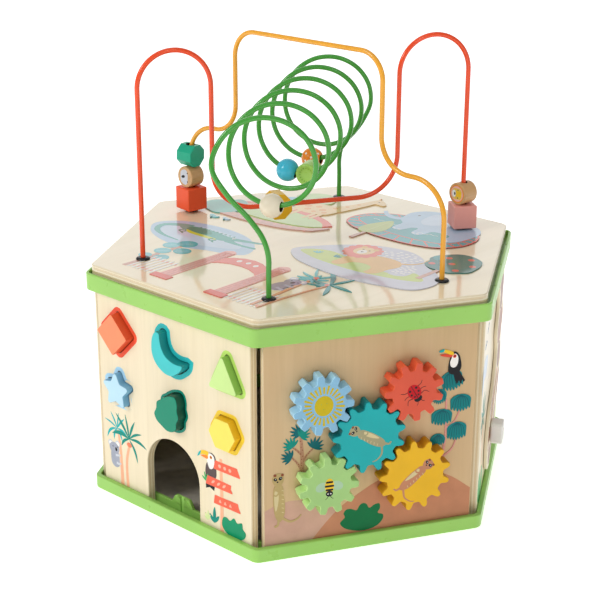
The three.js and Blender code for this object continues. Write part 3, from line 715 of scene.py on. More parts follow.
INK = {k: ink("ink_" + k, v) for k, v in dict(
    coral="f2694f", coral_d="e4503a", peach="f6b491", turq="1fb0b4", teal="048d7e", teal_d="04666a", green="069468", green_d="02703f",
    lime="c3dc7c", lime_p="d6e8a4", olive="a9b03c", grey="a3a8b8", grey_l="ccd0da", white="f6f4ee", black="1d1e21", pink="f2b9ad", rose="d9978c",
    yellow="f2c530", mustard="c9b21a", orange="f08a2e", tan="c4a06e", tan_l="dcc59c", brown="8a4b33", brown_l="a5654a", terra="bf8361", mauve="c9a08c",
    sky="b9d9ee", sky_p="d3e2f2", lilac="bfb6d4", pond="3fb3b5", navy="2d5a84", cream="f3e6c8", straw="e8c25a", blush="eed5bd", road="8f9496",
    trunk="b98a6c", leaf="4cb36a", sand="e7c58e", coconut="eb825f", bird="5c4d4d", sign_mark="ffb49c", wing="a9c9a6", frond="067f80", frond_d="055a63", fur="b9a26c", fur_l="d3c394", fur_g="a39c78").items()}


def wire(name, pts, mat):
    V, F = tube_data(pts, 2.2, 20)
    ob = make(name, V, F, [mat], None, None, 50, False)
    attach(ob, "body")
    return ob


# -------------------------------------------------------------------- frames
def hex_ring(a, r, seg=8):
    pts, d = [], (a - r) / math.cos(rad(30))
    for k in range(6):
        for i in range(seg + 1):
            t = rad(k * 60 - 30 + 60 * i / seg)
            pts.append((d * math.cos(rad(k * 60)) + r * math.cos(t), d * math.sin(rad(k * 60)) + r * math.sin(t)))
    return pts


def hex_sweep(name, section, radii, mat):
    sec = rounded(section, radii, 3)
    V, F, n = [], [], 6 * 9
    for a, z in sec:
        V += [(x, y, z) for x, y in hex_ring(a, max(1.5, 9 - (175 - a)))]
    m = len(sec)
    for i in range(m):
        for j in range(n):
            a, b = i * n + j, i * n + (j + 1) % n
            c, d = ((i + 1) % m) * n + j, ((i + 1) % m) * n + (j + 1) % n
            F.append((a, b, d, c))
    return make(name, V, F, [mat], None, None, 40, False)


def plain_side(angle):
    m = side_matrix(angle, 0)
    return m


base = hex_sweep("frame_base", [(150, 0), (174.8, 0), (174.8, 12.4), (170.4, 12.4), (170.4, 2.8), (161.6, 2.8), (161.6, 12), (158.5, 12), (158.5, 2.8), (150, 2.8)],
                 [0.6, 1.0, 1.1, 0.5, 0.3, 0.3, 0.5, 0.5, 0.3, 0.5], GREEN)
tabs, grooves = [], []
for k in range(6):
    Mk = plain_side(-90 + 60 * k)
    V, F, _ = prism_data(rounded([(-13.5, 10), (13.5, 10), (13.2, 12.2), (9.6, 18.4), (8.2, 19.8), (-8.2, 19.8), (-9.6, 18.4), (-13.2, 12.2)], 0.8, 2), 158.5, 161.6, (), 0.4, 2)
    tabs.append(make("t", V, F, [GREEN], Mk))
    V, F, _ = prism_data([(-2.4, 3.4), (2.4, 3.4), (2.4, 22), (-2.4, 22)], 160.4, 163, (), 0, 1)
    grooves.append(make("g", V, F, [GREEN], Mk))
boolean(base, tabs, "UNION")
boolean(base, grooves)
finish_mesh(base, 40, True)
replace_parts(base, "base_frame")
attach(base, "body")

topf = hex_sweep("frame_top", [(158, 192), (161.6, 192), (161.6, 198.2), (170.4, 198.2), (170.4, 191), (175, 191), (175, 206.5), (172.6, 206.5), (172.6, 201.1), (158, 201.1)],
                 [0.4, 0.4, 0.3, 0.3, 0.5, 1.0, 1.0, 0.6, 0.3, 0.4], GREEN)
cuts = []
for k in range(6):
    a = rad(-90 + 60 * k)
    for s in (-57, 0, 57):
        V, F, _ = prism_data(circle(s, 0, 1.8, 20), -1.7, 1.7, (), 0, 1)
        Mc = side_matrix(-90 + 60 * k, 172.5) @ Matrix.Rotation(rad(-90), 4, "X") @ Matrix.Identity(4)
        Mc = side_matrix(-90 + 60 * k, 0) @ Matrix.Translation((s * S, 205.6 * S, 172.5 * S)) @ Matrix.Rotation(rad(90), 4, "X")
        V, F, _ = prism_data(circle(0, 0, 1.8, 20), -1.7, 1.7, (), 0, 1)
        cuts.append(make("n", V, F, [GREEN], Mc))
boolean(topf, cuts)
finish_mesh(topf, 40, True)
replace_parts(topf, "top_frame")
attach(topf, "body")

# ------------------------------------------------------------------ top board
board = prism("board_top", hex_ring(170.6, 10, 10), 201.4, 213.4, WOOD_TOP, None,
              holes=[circle(150.5 * math.cos(rad(a)), 150.5 * math.sin(rad(a)), 4.2, 24) for a in range(0, 360, 60)], bevel=1.3, seg=4)
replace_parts(board, "top_board")
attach(board, "body")

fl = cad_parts["floor_board"]
fl.data.materials.clear()
fl.data.materials.append(GREY)

# ---------------------------------------------------------------------- wires
D60, D0, DM60, E30 = [Vector((math.cos(rad(a)), math.sin(rad(a)), 0)) for a in (60, 0, -60, 30)]


def on(d, s, z, e=None, k=0.0):
    v = d * s + (e * k if e is not None else Vector((0, 0, 0)))
    return (v.x, v.y, z)


def arc(cs, cz, r, a0, a1, n):
    return [(cs + r * math.cos(rad(a0 + (a1 - a0) * (i + 1) / n)), cz + r * math.sin(rad(a0 + (a1 - a0) * (i + 1) / n))) for i in range(n)]


P, WZ = 150.5, 195.5
red = [(-P, WZ), (-P, 240), (-P, 300), (-P, 362.2), *arc(-118.75, 362.2, 31.75, 180, 0, 40), (-87, 320), (-87, 289), *arc(-50, 289, 37, 180, 270, 24),
       (0, 252), (47.5, 252), *arc(47.5, 289, 37, 270, 360, 24), (84.5, 320), (84.5, 362.2), *arc(117.5, 362.2, 33, 180, 0, 40), (P, 300), (P, 240), (P, WZ)]
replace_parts(wire("bead_wire_red", [on(D60, s, z) for s, z in red], RED_W), "wire_red")
yel = [(-P, WZ), (-P, 230), (-P, 267.5), *arc(-118.5, 267.5, 32, 180, 90, 24), (-116, 299.5), *arc(-116, 326.5, 27, 270, 360, 24), (-89, 350), (-89, 371),
       *arc(-65, 371, 24, 180, 90, 24), (0, 395), (58.5, 395), *arc(58.5, 371, 24, 90, 0, 24), (82.5, 350), (82.5, 326), *arc(111.5, 326, 29, 180, 270, 24),
       (118.5, 297), *arc(118.5, 265, 32, 90, 0, 24), (P, 230), (P, WZ)]
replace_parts(wire("bead_wire_yellow", [on(D0, s, z) for s, z in yel], YEL_W), "wire_yellow")
R_, PITCH, Z_, OFF, S0 = 39.3, 52.03, 319.8, -6.8, 149.6


def coil(turn):
    ph = math.pi - 2 * math.pi * turn
    return on(DM60, S0 - PITCH * turn, Z_ + R_ * math.sin(ph), E30, OFF + R_ * math.cos(ph))


q = lambda s, e, z: on(DM60, s, z, E30, e)
ctrl = [q(P, 0, 236), q(P, -0.2, 250), q(150.5, -4.6, 264.5), q(150.6, -16.2, 280.5), q(150.8, -33, 298)]
t = 0.0
while t <= 5.601:
    ctrl.append(coil(t))
    t += 0.08
ctrl += [q(-144.5, 15.5, 282.5), q(-148.2, 3.6, 268.5), q(-150.3, 0, 254), q(-P, 0, 238)]
grn = [q(P, 0, WZ), q(P, 0, 215)] + catmull(ctrl, 560, closed=False) + [q(-P, 0, 215), q(-P, 0, WZ)]
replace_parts(wire("bead_wire_green", grn, GRN_W), "wire_green")

for nm, a in (("green_front", -60), ("yellow_right", 0), ("red_rear", 60), ("green_rear", 120), ("yellow_left", 180), ("red_front", -120)):
    prof = [(2.35, 198.6), (5.2, 198.6), (5.6, 199), (5.6, 201.0), (3.9, 201.1), (3.9, 213.5), (5.9, 213.5), (6.2, 213.8), (6.15, 214.2), (5.7, 214.9), (4.9, 215.35), (3.9, 215.6), (3.0, 215.72), (2.5, 215.6), (2.35, 215.2)]
    ob = lathe("bush_" + nm, prof, BLACK, Matrix.Translation((150.5 * math.cos(rad(a)) * S, 150.5 * math.sin(rad(a)) * S, 0)), 40, True, 50)
    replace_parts(ob, "grommet_" + nm)
    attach(ob, "body")


# ---------------------------------------------------------------------- beads
def bore_cutter(r, length, M):
    V, F, _ = prism_data(circle(0, 0, r, 40), -length, length, (), 0, 1)
    return make("bore", V, F, [BORE_PAINTED_SHADE], M)


def bead(name, node, body, V, F, mat, M, r, length, axis=None):
    ob = make(name, V, F, [mat, BORE_PAINTED_SHADE], M, None, 30, False)
    c = bore_cutter(r, length, M)
    c.data.materials.clear()
    c.data.materials.append(mat)
    c.data.materials.append(BORE_PAINTED_SHADE)
    # the cutter's faces become the hole's wall and take the dark bore colour: painted shade
    c.data.polygons.foreach_set("material_index", [1] * len(c.data.polygons))
    boolean(ob, [c])
    finish_mesh(ob, 28, True)
    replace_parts(ob, node)
    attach(ob, body)
    return ob


def rounded_box(h, b, seg=3):
    bm = bmesh.new()
    bmesh.ops.create_cube(bm, size=2 * h)
    bmesh.ops.bevel(bm, geom=list(bm.edges), offset=b, segments=seg, profile=0.5, affect="EDGES")
    bm.verts.index_update()
    V = [tuple(v.co) for v in bm.verts]
    F = [tuple(v.index for v in f.verts) for f in bm.faces]
    bm.free()
    return V, F


def headed(a):
    return Vector((math.sin(rad(a)), -math.cos(rad(a)), 0))


UP = Vector((0, 0, 1))
CUBE_Z = 215.8 + 0.3 + 10.75
DISC_Z = CUBE_Z + 10.75 + 0.3 + 10.25
left, rear = Vector((-150.5, 0, 0)), D60 * 150.5
V, F = rounded_box(10.75, 0.9)
bead("cube_orange", "bead_cube_orange", "bead_cube_orange", V, F, paint("paint_cube_orange", "f45a30", 0.42, 0.12), frame_matrix((left.x, left.y, CUBE_Z), UP, headed(81.4)), 3.7, 30)
bead("cube_pink", "bead_cube_pink", "bead_cube_pink", V, F, paint("paint_cube_pink", "eda398", 0.42, 0.12), frame_matrix((rear.x, rear.y, CUBE_Z), UP, headed(53.9)), 3.7, 30)


def disc_bead(length, r):
    """Short round bar along local Y with eased rims."""
    h, b = length / 2, 0.9
    prof = [(0, -h), (r - b, -h)] + [(r - b + b * math.sin(rad(a)), -h + b - b * math.cos(rad(a))) for a in (30, 60, 90)] + \
           [(r - b + b * math.cos(rad(a)), h - b + b * math.sin(rad(a))) for a in (0, 30, 60)] + [(r - b, h), (0, h)]
    V, F = lathe_data(prof, 56)
    return [(x, z, -y) for x, y, z in V], F


for nm, node, pos, head, ln in (("disc_grey_face", "bead_disc_grey_face", left, 88.5, 15.6), ("disc_tan_face", "bead_disc_tan_face", rear, 83.5, 16.4)):
    Mb = frame_matrix((pos.x, pos.y, DISC_Z), UP, headed(head))
    V, F = disc_bead(ln, 10.25)
    body = node.replace("_face", "")
    bead(nm, node, body, V, F, BEADWOOD, Mb, 3.7, 30)
    # printed face on the flat end that looks along local -Y
    Mf = Mb @ Matrix.Translation((0, -ln / 2 * S, 0)) @ Matrix.Rotation(rad(90), 4, "X")
    f = Film("print_" + nm, Mf, -0.01)
    if "grey" in nm:
        f.put(moved(smooth([(-7.4, 0), (-6.6, 5), (-2, 7.4), (1.2, 6.6), (2.6, 3.4), (2.4, -3.4), (1.2, -6.6), (-2, -7.4), (-6.6, -5)], 40), 1.2, 0), INK["grey_l"])
        f.put(ellipse(-2.4, 0.2, 2.5, 1.4, 15), INK["black"])
        f.put(ellipse(3.6, 4.2, 0.7, 0.7), INK["black"])
        f.put(ellipse(3.6, -4.2, 0.7, 0.7), INK["black"])
    else:
        f.put(circle(0, 0, 8.3), INK["orange"])
        f.put(circle(0, 0, 7.3), INK["pink"])
        f.put(box2(-5.6, -5.2, 5.6, 5.2, 3.2), INK["straw"])
        f.put(box2(-1.8, -2.6, 5.6, 2.6, 1.2), INK["yellow"])
        f.put(ellipse(-3.6, 0, 2.3, 3.4), INK["white"])
        f.put(ellipse(-2.6, 0, 1.5, 0.9, 90), INK["black"])
        f.put(circle(1.2, 3.7, 0.6, 16), INK["black"])
        f.put(circle(1.2, -3.7, 0.6, 16), INK["black"])
    f.done(body)


def octagon_bead(length, across):
    """Eight-sided bar along local X with bevelled ends."""
    p = rounded([(across / 2 / math.cos(rad(22.5)) * math.cos(rad(22.5 + 45 * i)), across / 2 / math.cos(rad(22.5)) * math.sin(rad(22.5 + 45 * i))) for i in range(8)], 0.8, 2)
    V, F, _ = prism_data(p, -length / 2, length / 2, (), 0.8, 3)
    return [(z, x, y) for x, y, z in V], F


th = rad(2.8)
pos = Vector((-118.5 - 32 * math.cos(th), 0, 267.5 + 32 * math.sin(th)))
V, F = octagon_bead(17.8, 20.5)
bead("prism_teal", "bead_prism_teal", "bead_prism_teal", V, F, paint("paint_prism_teal", "1aa884", 0.34, 0.3), frame_matrix(pos, (math.sin(th), 0, math.cos(th)), headed(96)), 4.6, 30)
V, F = octagon_bead(18, 22.6)
bead("prism_yellow", "bead_prism_yellow", "bead_prism_yellow", V, F, paint("paint_prism_yellow", "e6b014", 0.34, 0.3), frame_matrix(on(D60, -28.6, 252), D60, Vector((math.cos(rad(-30)), math.sin(rad(-30)), 0))), 3.7, 30)


def coil_frame(turn):
    ph, c = math.pi - 2 * math.pi * turn, PITCH / 2 / math.pi
    T = (DM60 * -c + E30 * (R_ * math.sin(ph)) - UP * (R_ * math.cos(ph))).normalized()
    N = E30 * -math.cos(ph) + UP * -math.sin(ph)
    return frame_matrix(Vector(coil(turn)) - N * 0.45, T, DM60)


def ball_profile(r, hole, n=22):
    e = 0.5
    z = math.sqrt(r * r - (hole + e) ** 2)
    a0 = math.asin(z / r)
    p = [(r * math.cos(-a0 + 2 * a0 * i / n), r * math.sin(-a0 + 2 * a0 * i / n)) for i in range(n + 1)]
    return [(hole, -z + 0.6), (hole + 0.12, -z + 0.15)] + p + [(hole + 0.12, z - 0.15), (hole, z - 0.6)]


for nm, node, turn, col, slot in (("ball_cream", "bead_ball_cream", 0.75, "efe3cb", "cream_bead"), ("ball_blue", "bead_ball_blue", 2.7935, "45bfdc", "blue_bead"), ("ball_orange", "bead_ball_orange", 3.745, "f58d22", "orange_ball")):
    V, F = lathe_data(ball_profile(10.1, 4.2), 64, True)
    n = len(ball_profile(10.1, 4.2))
    # the faces lining the hole take the dark bore colour: painted shade
    mi = [1 if i // 64 == n - 1 else 0 for i in range(len(F))]
    mat = paint("paint_" + nm, col, 0.16, 0.6, 0.12)
    ob = make(nm, V, F, [mat, BORE_PAINTED_SHADE], coil_frame(turn), mi, 50, False)
    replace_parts(ob, node)
    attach(ob, node)
    if "orange" in nm:   # white spots
        W = INK["white"]
        spots, sf, k = [], [], 0
        for lat, cnt, ph0 in ((-48, 6, 0), (-16, 9, 20), (16, 9, 0), (48, 6, 30)):
            for j in range(cnt):
                az_, el_ = rad(ph0 + 360 * j / cnt), rad(lat)
                d = Vector((math.cos(el_) * math.cos(az_), math.cos(el_) * math.sin(az_), math.sin(el_)))
                s1 = d.orthogonal().normalized()
                s2 = d.cross(s1)
                rr, m = 1.05, 14
                top = [d * 10.13 + (s1 * math.cos(2 * math.pi * i / m) + s2 * math.sin(2 * math.pi * i / m)) * rr for i in range(m)]
                top = [v.normalized() * 10.13 for v in top]
                bot = [v.normalized() * 9.9 for v in top]
                b = len(spots)
                spots += [tuple(v) for v in top] + [tuple(v) for v in bot] + [tuple(d * 10.14), tuple(d * 9.9)]
                for i in range(m):
                    i2 = (i + 1) % m
                    sf += [(b + i, b + i2, b + m + i2, b + m + i), (b + 2 * m, b + i, b + i2), (b + 2 * m + 1, b + m + i2, b + m + i)]
        so = make("spots_orange", spots, sf, [W], coil_frame(turn), None, 50, False)
        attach(so, node)
# lime wheel: dished, ribbed faces
prof = [(0, -6.2), (4.6, -6.4), (6.4, -7.2), (7.6, -8.2), (8.6, -8.4), (9.5, -8.0), (10.0, -7.2), (10.1, -6.2), (10.1, 6.2), (10.0, 7.2), (9.5, 8.0), (8.6, 8.4), (7.6, 8.2), (6.4, 7.2), (4.6, 6.4), (0, 6.2)]
V, F = lathe_data(prof, 64)
V = [(z, y, -x) for x, y, z in V]
wheel = bead("wheel_lime", "bead_wheel_lime", "bead_wheel_lime", V, F, paint("paint_wheel_lime", "a3d163", 0.28, 0.4, 0.2), coil_frame(2.7095), 4.5, 30)
ribs_v, ribs_f = [], []
for sx in (-1, 1):
    for j in range(16):
        a = 2 * math.pi * (j + 0.5) / 16
        p = leaf(5.2, 0, 9.3, 0, 1.5)
        b = len(ribs_v)
        m = len(p)
        for h in (0, 1):
            for x, y in p:
                rr = math.hypot(x, y)
                t2 = math.atan2(y, x) + a
                zz = 6.35 + max(0.0, (min(rr, 8.6) - 4.6)) * 0.5 + (0.06 if h else -0.4)
                ribs_v.append((sx * zz, rr * math.cos(t2), rr * math.sin(t2)))
        ribs_f += [(b + i, b + (i + 1) % m, b + m + (i + 1) % m, b + m + i) for i in range(m)]
        ribs_f += [tuple(b + i for i in range(m))[::-1], tuple(b + m + i for i in range(m))]
rb = make("ribs_lime", ribs_v, ribs_f, [paint("paint_rib", "7fb446", 0.35, 0.3)], coil_frame(2.7095), None, 30, False)
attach(rb, "bead_wheel_lime")

# ------------------------------------------------------------ side A: shape sorter
MA, MB, MC, MD, ME, MF = [side_matrix(a) for a in (-90, -30, 30, 210, 150, 90)]
PLATE = [(-92, 3.1), (92, 3.1), (92, 197.9), (-92, 197.9)]
star = []
for i in range(10):
    a, r = rad(90 + 36 * i), (9.7 if i % 2 else 18.9)
    star.append((-66 + r * math.cos(a), 105.7 + r * math.sin(a)))
# outline, face, side and ring colours, how far it stands proud, ring width; the side colour is the face paint darkened,
# painted shade on the block walls
BLOCKS = {
    "square_orange": (rounded([(-84.2, 159), (-65, 139.8), (-45.8, 159), (-65, 178.2)], 1.8, 4), "ff8e63", "e0532c", "f0593a", 8.5, 4.75),
    "crescent_teal": (smooth([(-9.4, 176.8), (-13.4, 172.5), (-15.2, 164), (-14.8, 156.4), (-11.6, 149.8), (-6, 144.8), (1.5, 141.6), (8.8, 141.8), (15, 145.4),
                              (20.4, 150.2), (21.6, 154.2), (16, 154), (9, 154.6), (1.6, 158), (-3, 164.4), (-4.8, 171.5), (-5.4, 176)], 72), "3fc4c6", "168c92", "2bb9bb", 8.0, 5.2),
    "triangle_lime": (rounded([(50.6, 145.2), (84.2, 145.2), (66.9, 177)], 2.2, 5), "c8e792", "8cbc54", "b9df6a", 7.0, 4.3),
    "star_blue": (rounded(star, 2.2, 4), "b9def0", "76aed2", "a5d3ee", 6.2, 4.5),
    "bush_green": (smooth([(5, 123), (12.2, 123.6), (14.9, 118), (14.5, 111.5), (16.1, 105.5), (13.3, 100), (12.9, 94.5), (8.3, 90.8), (1.7, 89.8),
                           (-5.3, 92.8), (-11.3, 96.4), (-13.9, 102), (-11.3, 107.4), (-10.3, 113.6), (-5.9, 116.6), (-1.9, 119.6)], 72), "058a6c", "03503f", "078c76", 8.5, 3.3),
    "hexagon_yellow": (rounded(circle(65.5, 106.1, 15.4, 6), 1.6, 3), "f5e463", "eab81e", "f3d23c", 7.0, 4.5),
}
w, cx, hw, zs = 92, -1.5, 32.5, 44.5
door = [(-w, 3.1), (cx - hw, 3.1)] + [(cx + hw * math.cos(rad(180 - 180 * i / 40)), zs + hw * math.sin(rad(180 - 180 * i / 40))) for i in range(41)] + [(cx + hw, 3.1), (w, 3.1), (w, 197.9), (-w, 197.9)]
pa = prism("board_sorter", door, -8, 0, WOOD_A, MA, holes=[grow(b[0], 0.9) for b in BLOCKS.values()], bevel=0.6, seg=3)
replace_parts(pa, "panel_sorter"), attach(pa, "body"), pa
fa = Film("print_sorter", MA, 0.0)
for nm, (pts, face, side, ring, out_mm, rw) in BLOCKS.items():
    out = rounded(grow(pts, rw), 3.0, 3) if nm in ("triangle_lime", "hexagon_yellow", "square_orange", "star_blue") else grow(pts, rw)
    fa.put(out, ink("ring_" + nm, ring), [grow(pts, 0.98)], level=1)
for nm, (pts, face, side, ring, out_mm, rw) in BLOCKS.items():
    # the walls take the darker side colour: painted shade on every wall of the block
    mf, ms = paint("face_" + nm, face, 0.40, 0.2), paint("side_" + nm, side, 0.42, 0.15)
    V, F, mi = prism_data(pts, out_mm - 19, out_mm, (), 0.9, 4)
    ob = make("shape_" + nm, V, F, [mf, ms], MA, None, 35)
    me = ob.data
    me.polygons.foreach_set("material_index", [0 if abs(p.normal.z) > 0.75 else 1 for p in me.polygons])
    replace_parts(ob, "block_" + nm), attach(ob, "block_" + nm), ob


def palm(f, x, y, foot, fronds, trunk, col, tw=3.0):
    f.put(stroke([foot, ((foot[0] + x) / 2 + 1.5, (foot[1] + y) / 2), (x, y)], tw, tw * 0.6), INK[trunk])
    for i, (a, L, wd, bd) in enumerate(fronds):
        f.put(leaf(x, y, x + L * math.cos(rad(a)), y + L * math.sin(rad(a)), wd, bd), INK[col])


def koala(f, x, y, s=1.0, lean=0):
    """A plain round-eared grey animal holding a trunk."""
    g = lambda pts: moved(pts, x, y, lean, s)
    f.put(g(circle(-5.0, 9.6, 3.4)), INK["grey_l"])
    f.put(g(circle(5.4, 10.4, 3.4)), INK["grey_l"])
    f.put(g(circle(-5.0, 9.6, 2.1)), INK["white"])
    f.put(g(circle(5.4, 10.4, 2.1)), INK["white"])
    f.put(g(smooth([(-4.5, 2), (-6, -5), (-5, -12), (0, -15), (5, -13), (6.2, -6), (5, 2)], 36)), INK["grey"])
    f.put(g(ellipse(0, 5.2, 7.0, 6.2)), INK["grey"])
    f.put(g(ellipse(2.6, 4.4, 1.5, 2.1, 0)), INK["black"])
    f.put(g(circle(-1.8, 6.8, 0.7, 14)), INK["black"])
    f.put(g(circle(5.2, 7.2, 0.7, 14)), INK["black"])
    f.put(g(stroke([(1, -2), (5, -1.5), (8.2, -0.6)], 2.6, 1.8)), INK["grey_l"])
    f.put(g(stroke([(1.5, -10), (5, -10.5), (8.0, -9.4)], 2.8, 1.8)), INK["grey_l"])


def big_bill_bird(f, x, y, s=1.0, flip=1, perch=True):
    """A plain dark bird with a white bib and a large three-colour bill."""
    g = lambda pts: ccw([(x + flip * s * a, y + s * b) for a, b in pts])
    f.put(g([(-1.5, -13), (3.5, -12), (5.5, -24), (1.5, -21.5), (-1.5, -25), (-3, -19)]), INK["black"])
    f.put(g(smooth([(-3.6, 2), (-5, -5), (-3.5, -11.5), (1, -14.5), (5.5, -11), (6.8, -4), (5.2, 3), (1, 6)], 40)), INK["black"])
    f.put(g(circle(0.8, 6.2, 5.2)), INK["black"])
    f.put(g(smooth([(-4.2, 6.6), (-3.6, 2), (-2.6, -2.6), (0.8, -3.4), (2.8, 0.5), (3.2, 6), (0.4, 9.6)], 36)), INK["white"])
    f.put(g(circle(-0.4, 6.6, 1.5, 24)), INK["coral_d"])
    f.put(g(circle(-0.4, 6.6, 0.75, 18)), INK["black"])
    f.put(g(smooth([(-3.4, 9.8), (-9, 11.6), (-13.5, 10.2), (-16, 7.2), (-10, 7.6), (-3.4, 7.4)], 36)), INK["yellow"])
    f.put(g(smooth([(-11, 10.9), (-14.2, 9.9), (-16.4, 6.8), (-12.8, 7.7)], 20)), INK["turq"])
    f.put(g(smooth([(-3.6, 7.0), (-10, 7.2), (-15, 6.2), (-9, 4.4), (-3.6, 4.2)], 30)), INK["coral"])


def sprig(f, x, y, leaves, col):
    for a, L, wd in leaves:
        f.put(leaf(x, y, x + L * math.cos(rad(a)), y + L * math.sin(rad(a)), wd), INK[col])


fa.put(stroke([(-68.2, 10), (-69.2, 45), (-71.4, 63)], 4.6, 2.6), INK["peach"])
for x, y, wd, bd in ((-89.4, 71.1, 1.7, -0.8), (-80.9, 80, 2.0, -0.6), (-62.8, 77.8, 2.3, 0.6), (-86.7, 53.3, 2.6, -3.2), (-77.2, 53.9, 2.4, -1.6), (-59.4, 60.6, 2.5, 1.8), (-70.2, 81.5, 1.6, 0.0), (-66.5, 54.5, 2.0, 1.0)):
    fa.put(leaf(-72.8, 65.9, x, y, wd, bd), INK["turq"])
fa.put(circle(-71.2, 62.5, 2, 24), INK["peach"])
fa.put(stroke([(-60.9, 10), (-61.7, 28.3), (-61.1, 39.4), (-57.2, 54)], 3.6, 2.8), INK["peach"])
for x, y, wd, bd in ((-74.2, 80.8, 2.9, -0.8), (-48.9, 79.4, 2.6, 0.8), (-34.4, 57, 3.0, 2.6), (-46.9, 39.7, 2.7, 2.0), (-67.8, 50.6, 2.9, -2.0), (-80, 59.4, 4.0, -3.0), (-61.5, 83, 2.2, -0.4), (-40.5, 69.5, 2.4, 1.6)):
    fa.put(leaf(-57.2, 60, x, y, wd, bd), INK["teal"])
fa.put(ellipse(-57.2, 54.4, 3.3, 2.3), INK["coconut"])
koala(fa, -77.4, 40.2, 0.92, 4)
fa.put(stroke([(57.6, 11.5), (57.8, 45), (57.4, 79.5)], 3.9, 3.0), INK["peach"])
# a plain dark bird with a white bib, behind the middle board
fa.put([(39.2, 46.8), (44, 49), (49, 47), (50.5, 56), (49, 66), (40, 66), (39.4, 56)], INK["black"])
fa.put(smooth([(39.2, 66), (39.6, 59.5), (45, 57), (51, 59.5), (52, 66), (50.5, 72), (46, 74), (41, 71)], 40), INK["bird"])
fa.put(circle(46.2, 76.0, 5.4, 40), INK["bird"])
fa.put(smooth([(41.2, 76.5), (41.6, 71), (44.4, 66.2), (47.6, 67.4), (49.6, 72), (49.4, 78.4), (45.8, 80.6), (42.6, 79.6)], 40), INK["white"])
fa.put(circle(45.9, 77.2, 1.5, 24), INK["orange"])
fa.put(circle(45.9, 77.2, 0.8, 18), INK["black"])
fa.put(smooth([(42.8, 80.9), (37.6, 81.2), (32.4, 78.6), (29.8, 73.6), (33.6, 76.2), (38.4, 77.6), (42.4, 77.6)], 36), INK["yellow"])
fa.put(smooth([(34.2, 79.8), (31.6, 77.8), (29.7, 73.4), (32.6, 75.6)], 24), INK["turq"])
fa.put(smooth([(42.2, 77.4), (37.8, 77.0), (33.6, 75.4), (37.6, 74.6), (42, 74.6)], 30), INK["orange"])
sprig(fa, 40.5, 53, [(80, 8, 2), (110, 9, 2), (145, 7, 1.8)], "leaf")


def sign(f, pts, marks):
    f.put(rounded(pts, 0.5, 2), INK["coral"])
    for m in marks:
        f.put(m, INK["sign_mark"])


sign(fa, [(48.8, 68), (80, 68.8), (77.8, 73.2), (76.2, 76.9), (50.6, 76.2)], [circle(x, 72.4, 1.6, 24) for x in (56, 62, 68)])
sign(fa, [(39, 51), (71, 51.5), (68.6, 55.2), (69.2, 59), (41.4, 59.5)], [leaf(x - 2, 53.7, x + 2, 57.1, 2.2) for x in (48, 54.5, 61)])
sign(fa, [(48.4, 35.8), (80, 36.5), (77.8, 40.8), (76.6, 44.6), (49.6, 43.8)], [rounded([(x - 1.8, 38.5), (x + 1.8, 38.5), (x, 41.9)], 0.4, 2) for x in (56, 62, 68)])
sprig(fa, 48.5, 17, [(88, 15, 3.4), (128, 9, 3.2), (54, 10, 3.2)], "teal")
sprig(fa, 41, 17, [(90, 9, 1.6), (120, 7, 1.6), (62, 7, 1.6), (150, 5, 1.4)], "lime_p")
fa.put(smooth([(58, 18), (59.4, 26), (63, 27.4), (67, 25.6), (72, 29.6), (75.5, 26.2), (81, 28.2), (82.2, 23.2), (85.5, 20), (84, 15), (78, 11.5), (72, 11.0), (64, 12.4)], 64), INK["green"])
fa.done("body")

# --------------------------------------------------------------- side B: gear wall
pb = prism("board_gears", PLATE, -8, 0, WOOD_B_PAINTED_SHADE, MB, bevel=0.6)
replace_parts(pb, "panel_gears"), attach(pb, "body"), pb
fb = Film("print_gears", MB, 0.0)
fb.put([(-91.4, 3.7), (-30, 3.7), (-2, 3.7), (-8, 16), (-19, 31), (-33, 42), (-50, 49.5), (-70, 51), (-84, 48), (-91.4, 44.5)], INK["mauve"])
fb.put([(-56, 3.7), (91.4, 3.7), (91.4, 38.2)] + [(p[0], p[1]) for p in catmull([(91.4, 38.2), (72, 52.5), (52, 60), (30, 61.5), (8, 58), (-10, 48.5), (-25, 39), (-38, 26.5), (-56, 5)], 40, closed=False)][1:], INK["terra"])
fb.put(smooth([(-26, 23), (-21.8, 28), (-23, 31.5), (-20.5, 35), (-16.5, 35), (-11.4, 33), (-9, 37), (-5.8, 38.8), (-2.6, 37.4), (-0.2, 33.4), (4.6, 36), (8.8, 36.2), (9.4, 31.4), (7.4, 27.6), (12.2, 25.4), (12.2, 21), (7, 15.6), (-4, 12.8), (-14, 14.2), (-22.5, 18)], 90), INK["green_d"])


def fan(f, x, y, turn, s, col):
    for a in (-70, -45, -22, 0, 22, 45, 70):
        L = (13 - abs(a) * 0.05) * s
        f.put(leaf(x, y, x + L * math.cos(rad(turn + a)), y + L * math.sin(rad(turn + a)), 2.5 * s), INK[col])


def speckled(f, pts, w0, w1):
    f.put(stroke(pts, w0, w1), INK["trunk"])
    c = catmull(pts, max(6, int(w0 * 4)), closed=False)
    for i, p in enumerate(c):
        f.put(circle(p[0] + (0.7 if i % 2 else -0.7) * w1 / 3, p[1], 0.45, 8), INK["brown"])


speckled(fb, [(-58, 60), (-59.5, 75), (-59.4, 90), (-61, 112)], 5.0, 2.2)
speckled(fb, [(-59.5, 84), (-56, 90), (-50, 96)], 2.3, 1.5)
speckled(fb, [(-60, 78), (-64, 85), (-69, 91)], 2.3, 1.5)
speckled(fb, [(-60.4, 92), (-64, 96), (-68, 99.5)], 2.1, 1.4)
fan(fb, -60.5, 110.5, 140, 0.86, "teal_d")
fan(fb, -61, 107.5, 38, 0.76, "teal")
fan(fb, -67.5, 99, 124, 0.82, "teal")
fan(fb, -68.5, 89.5, 152, 0.78, "teal_d")
fan(fb, -50, 96, 58, 0.88, "teal_d")


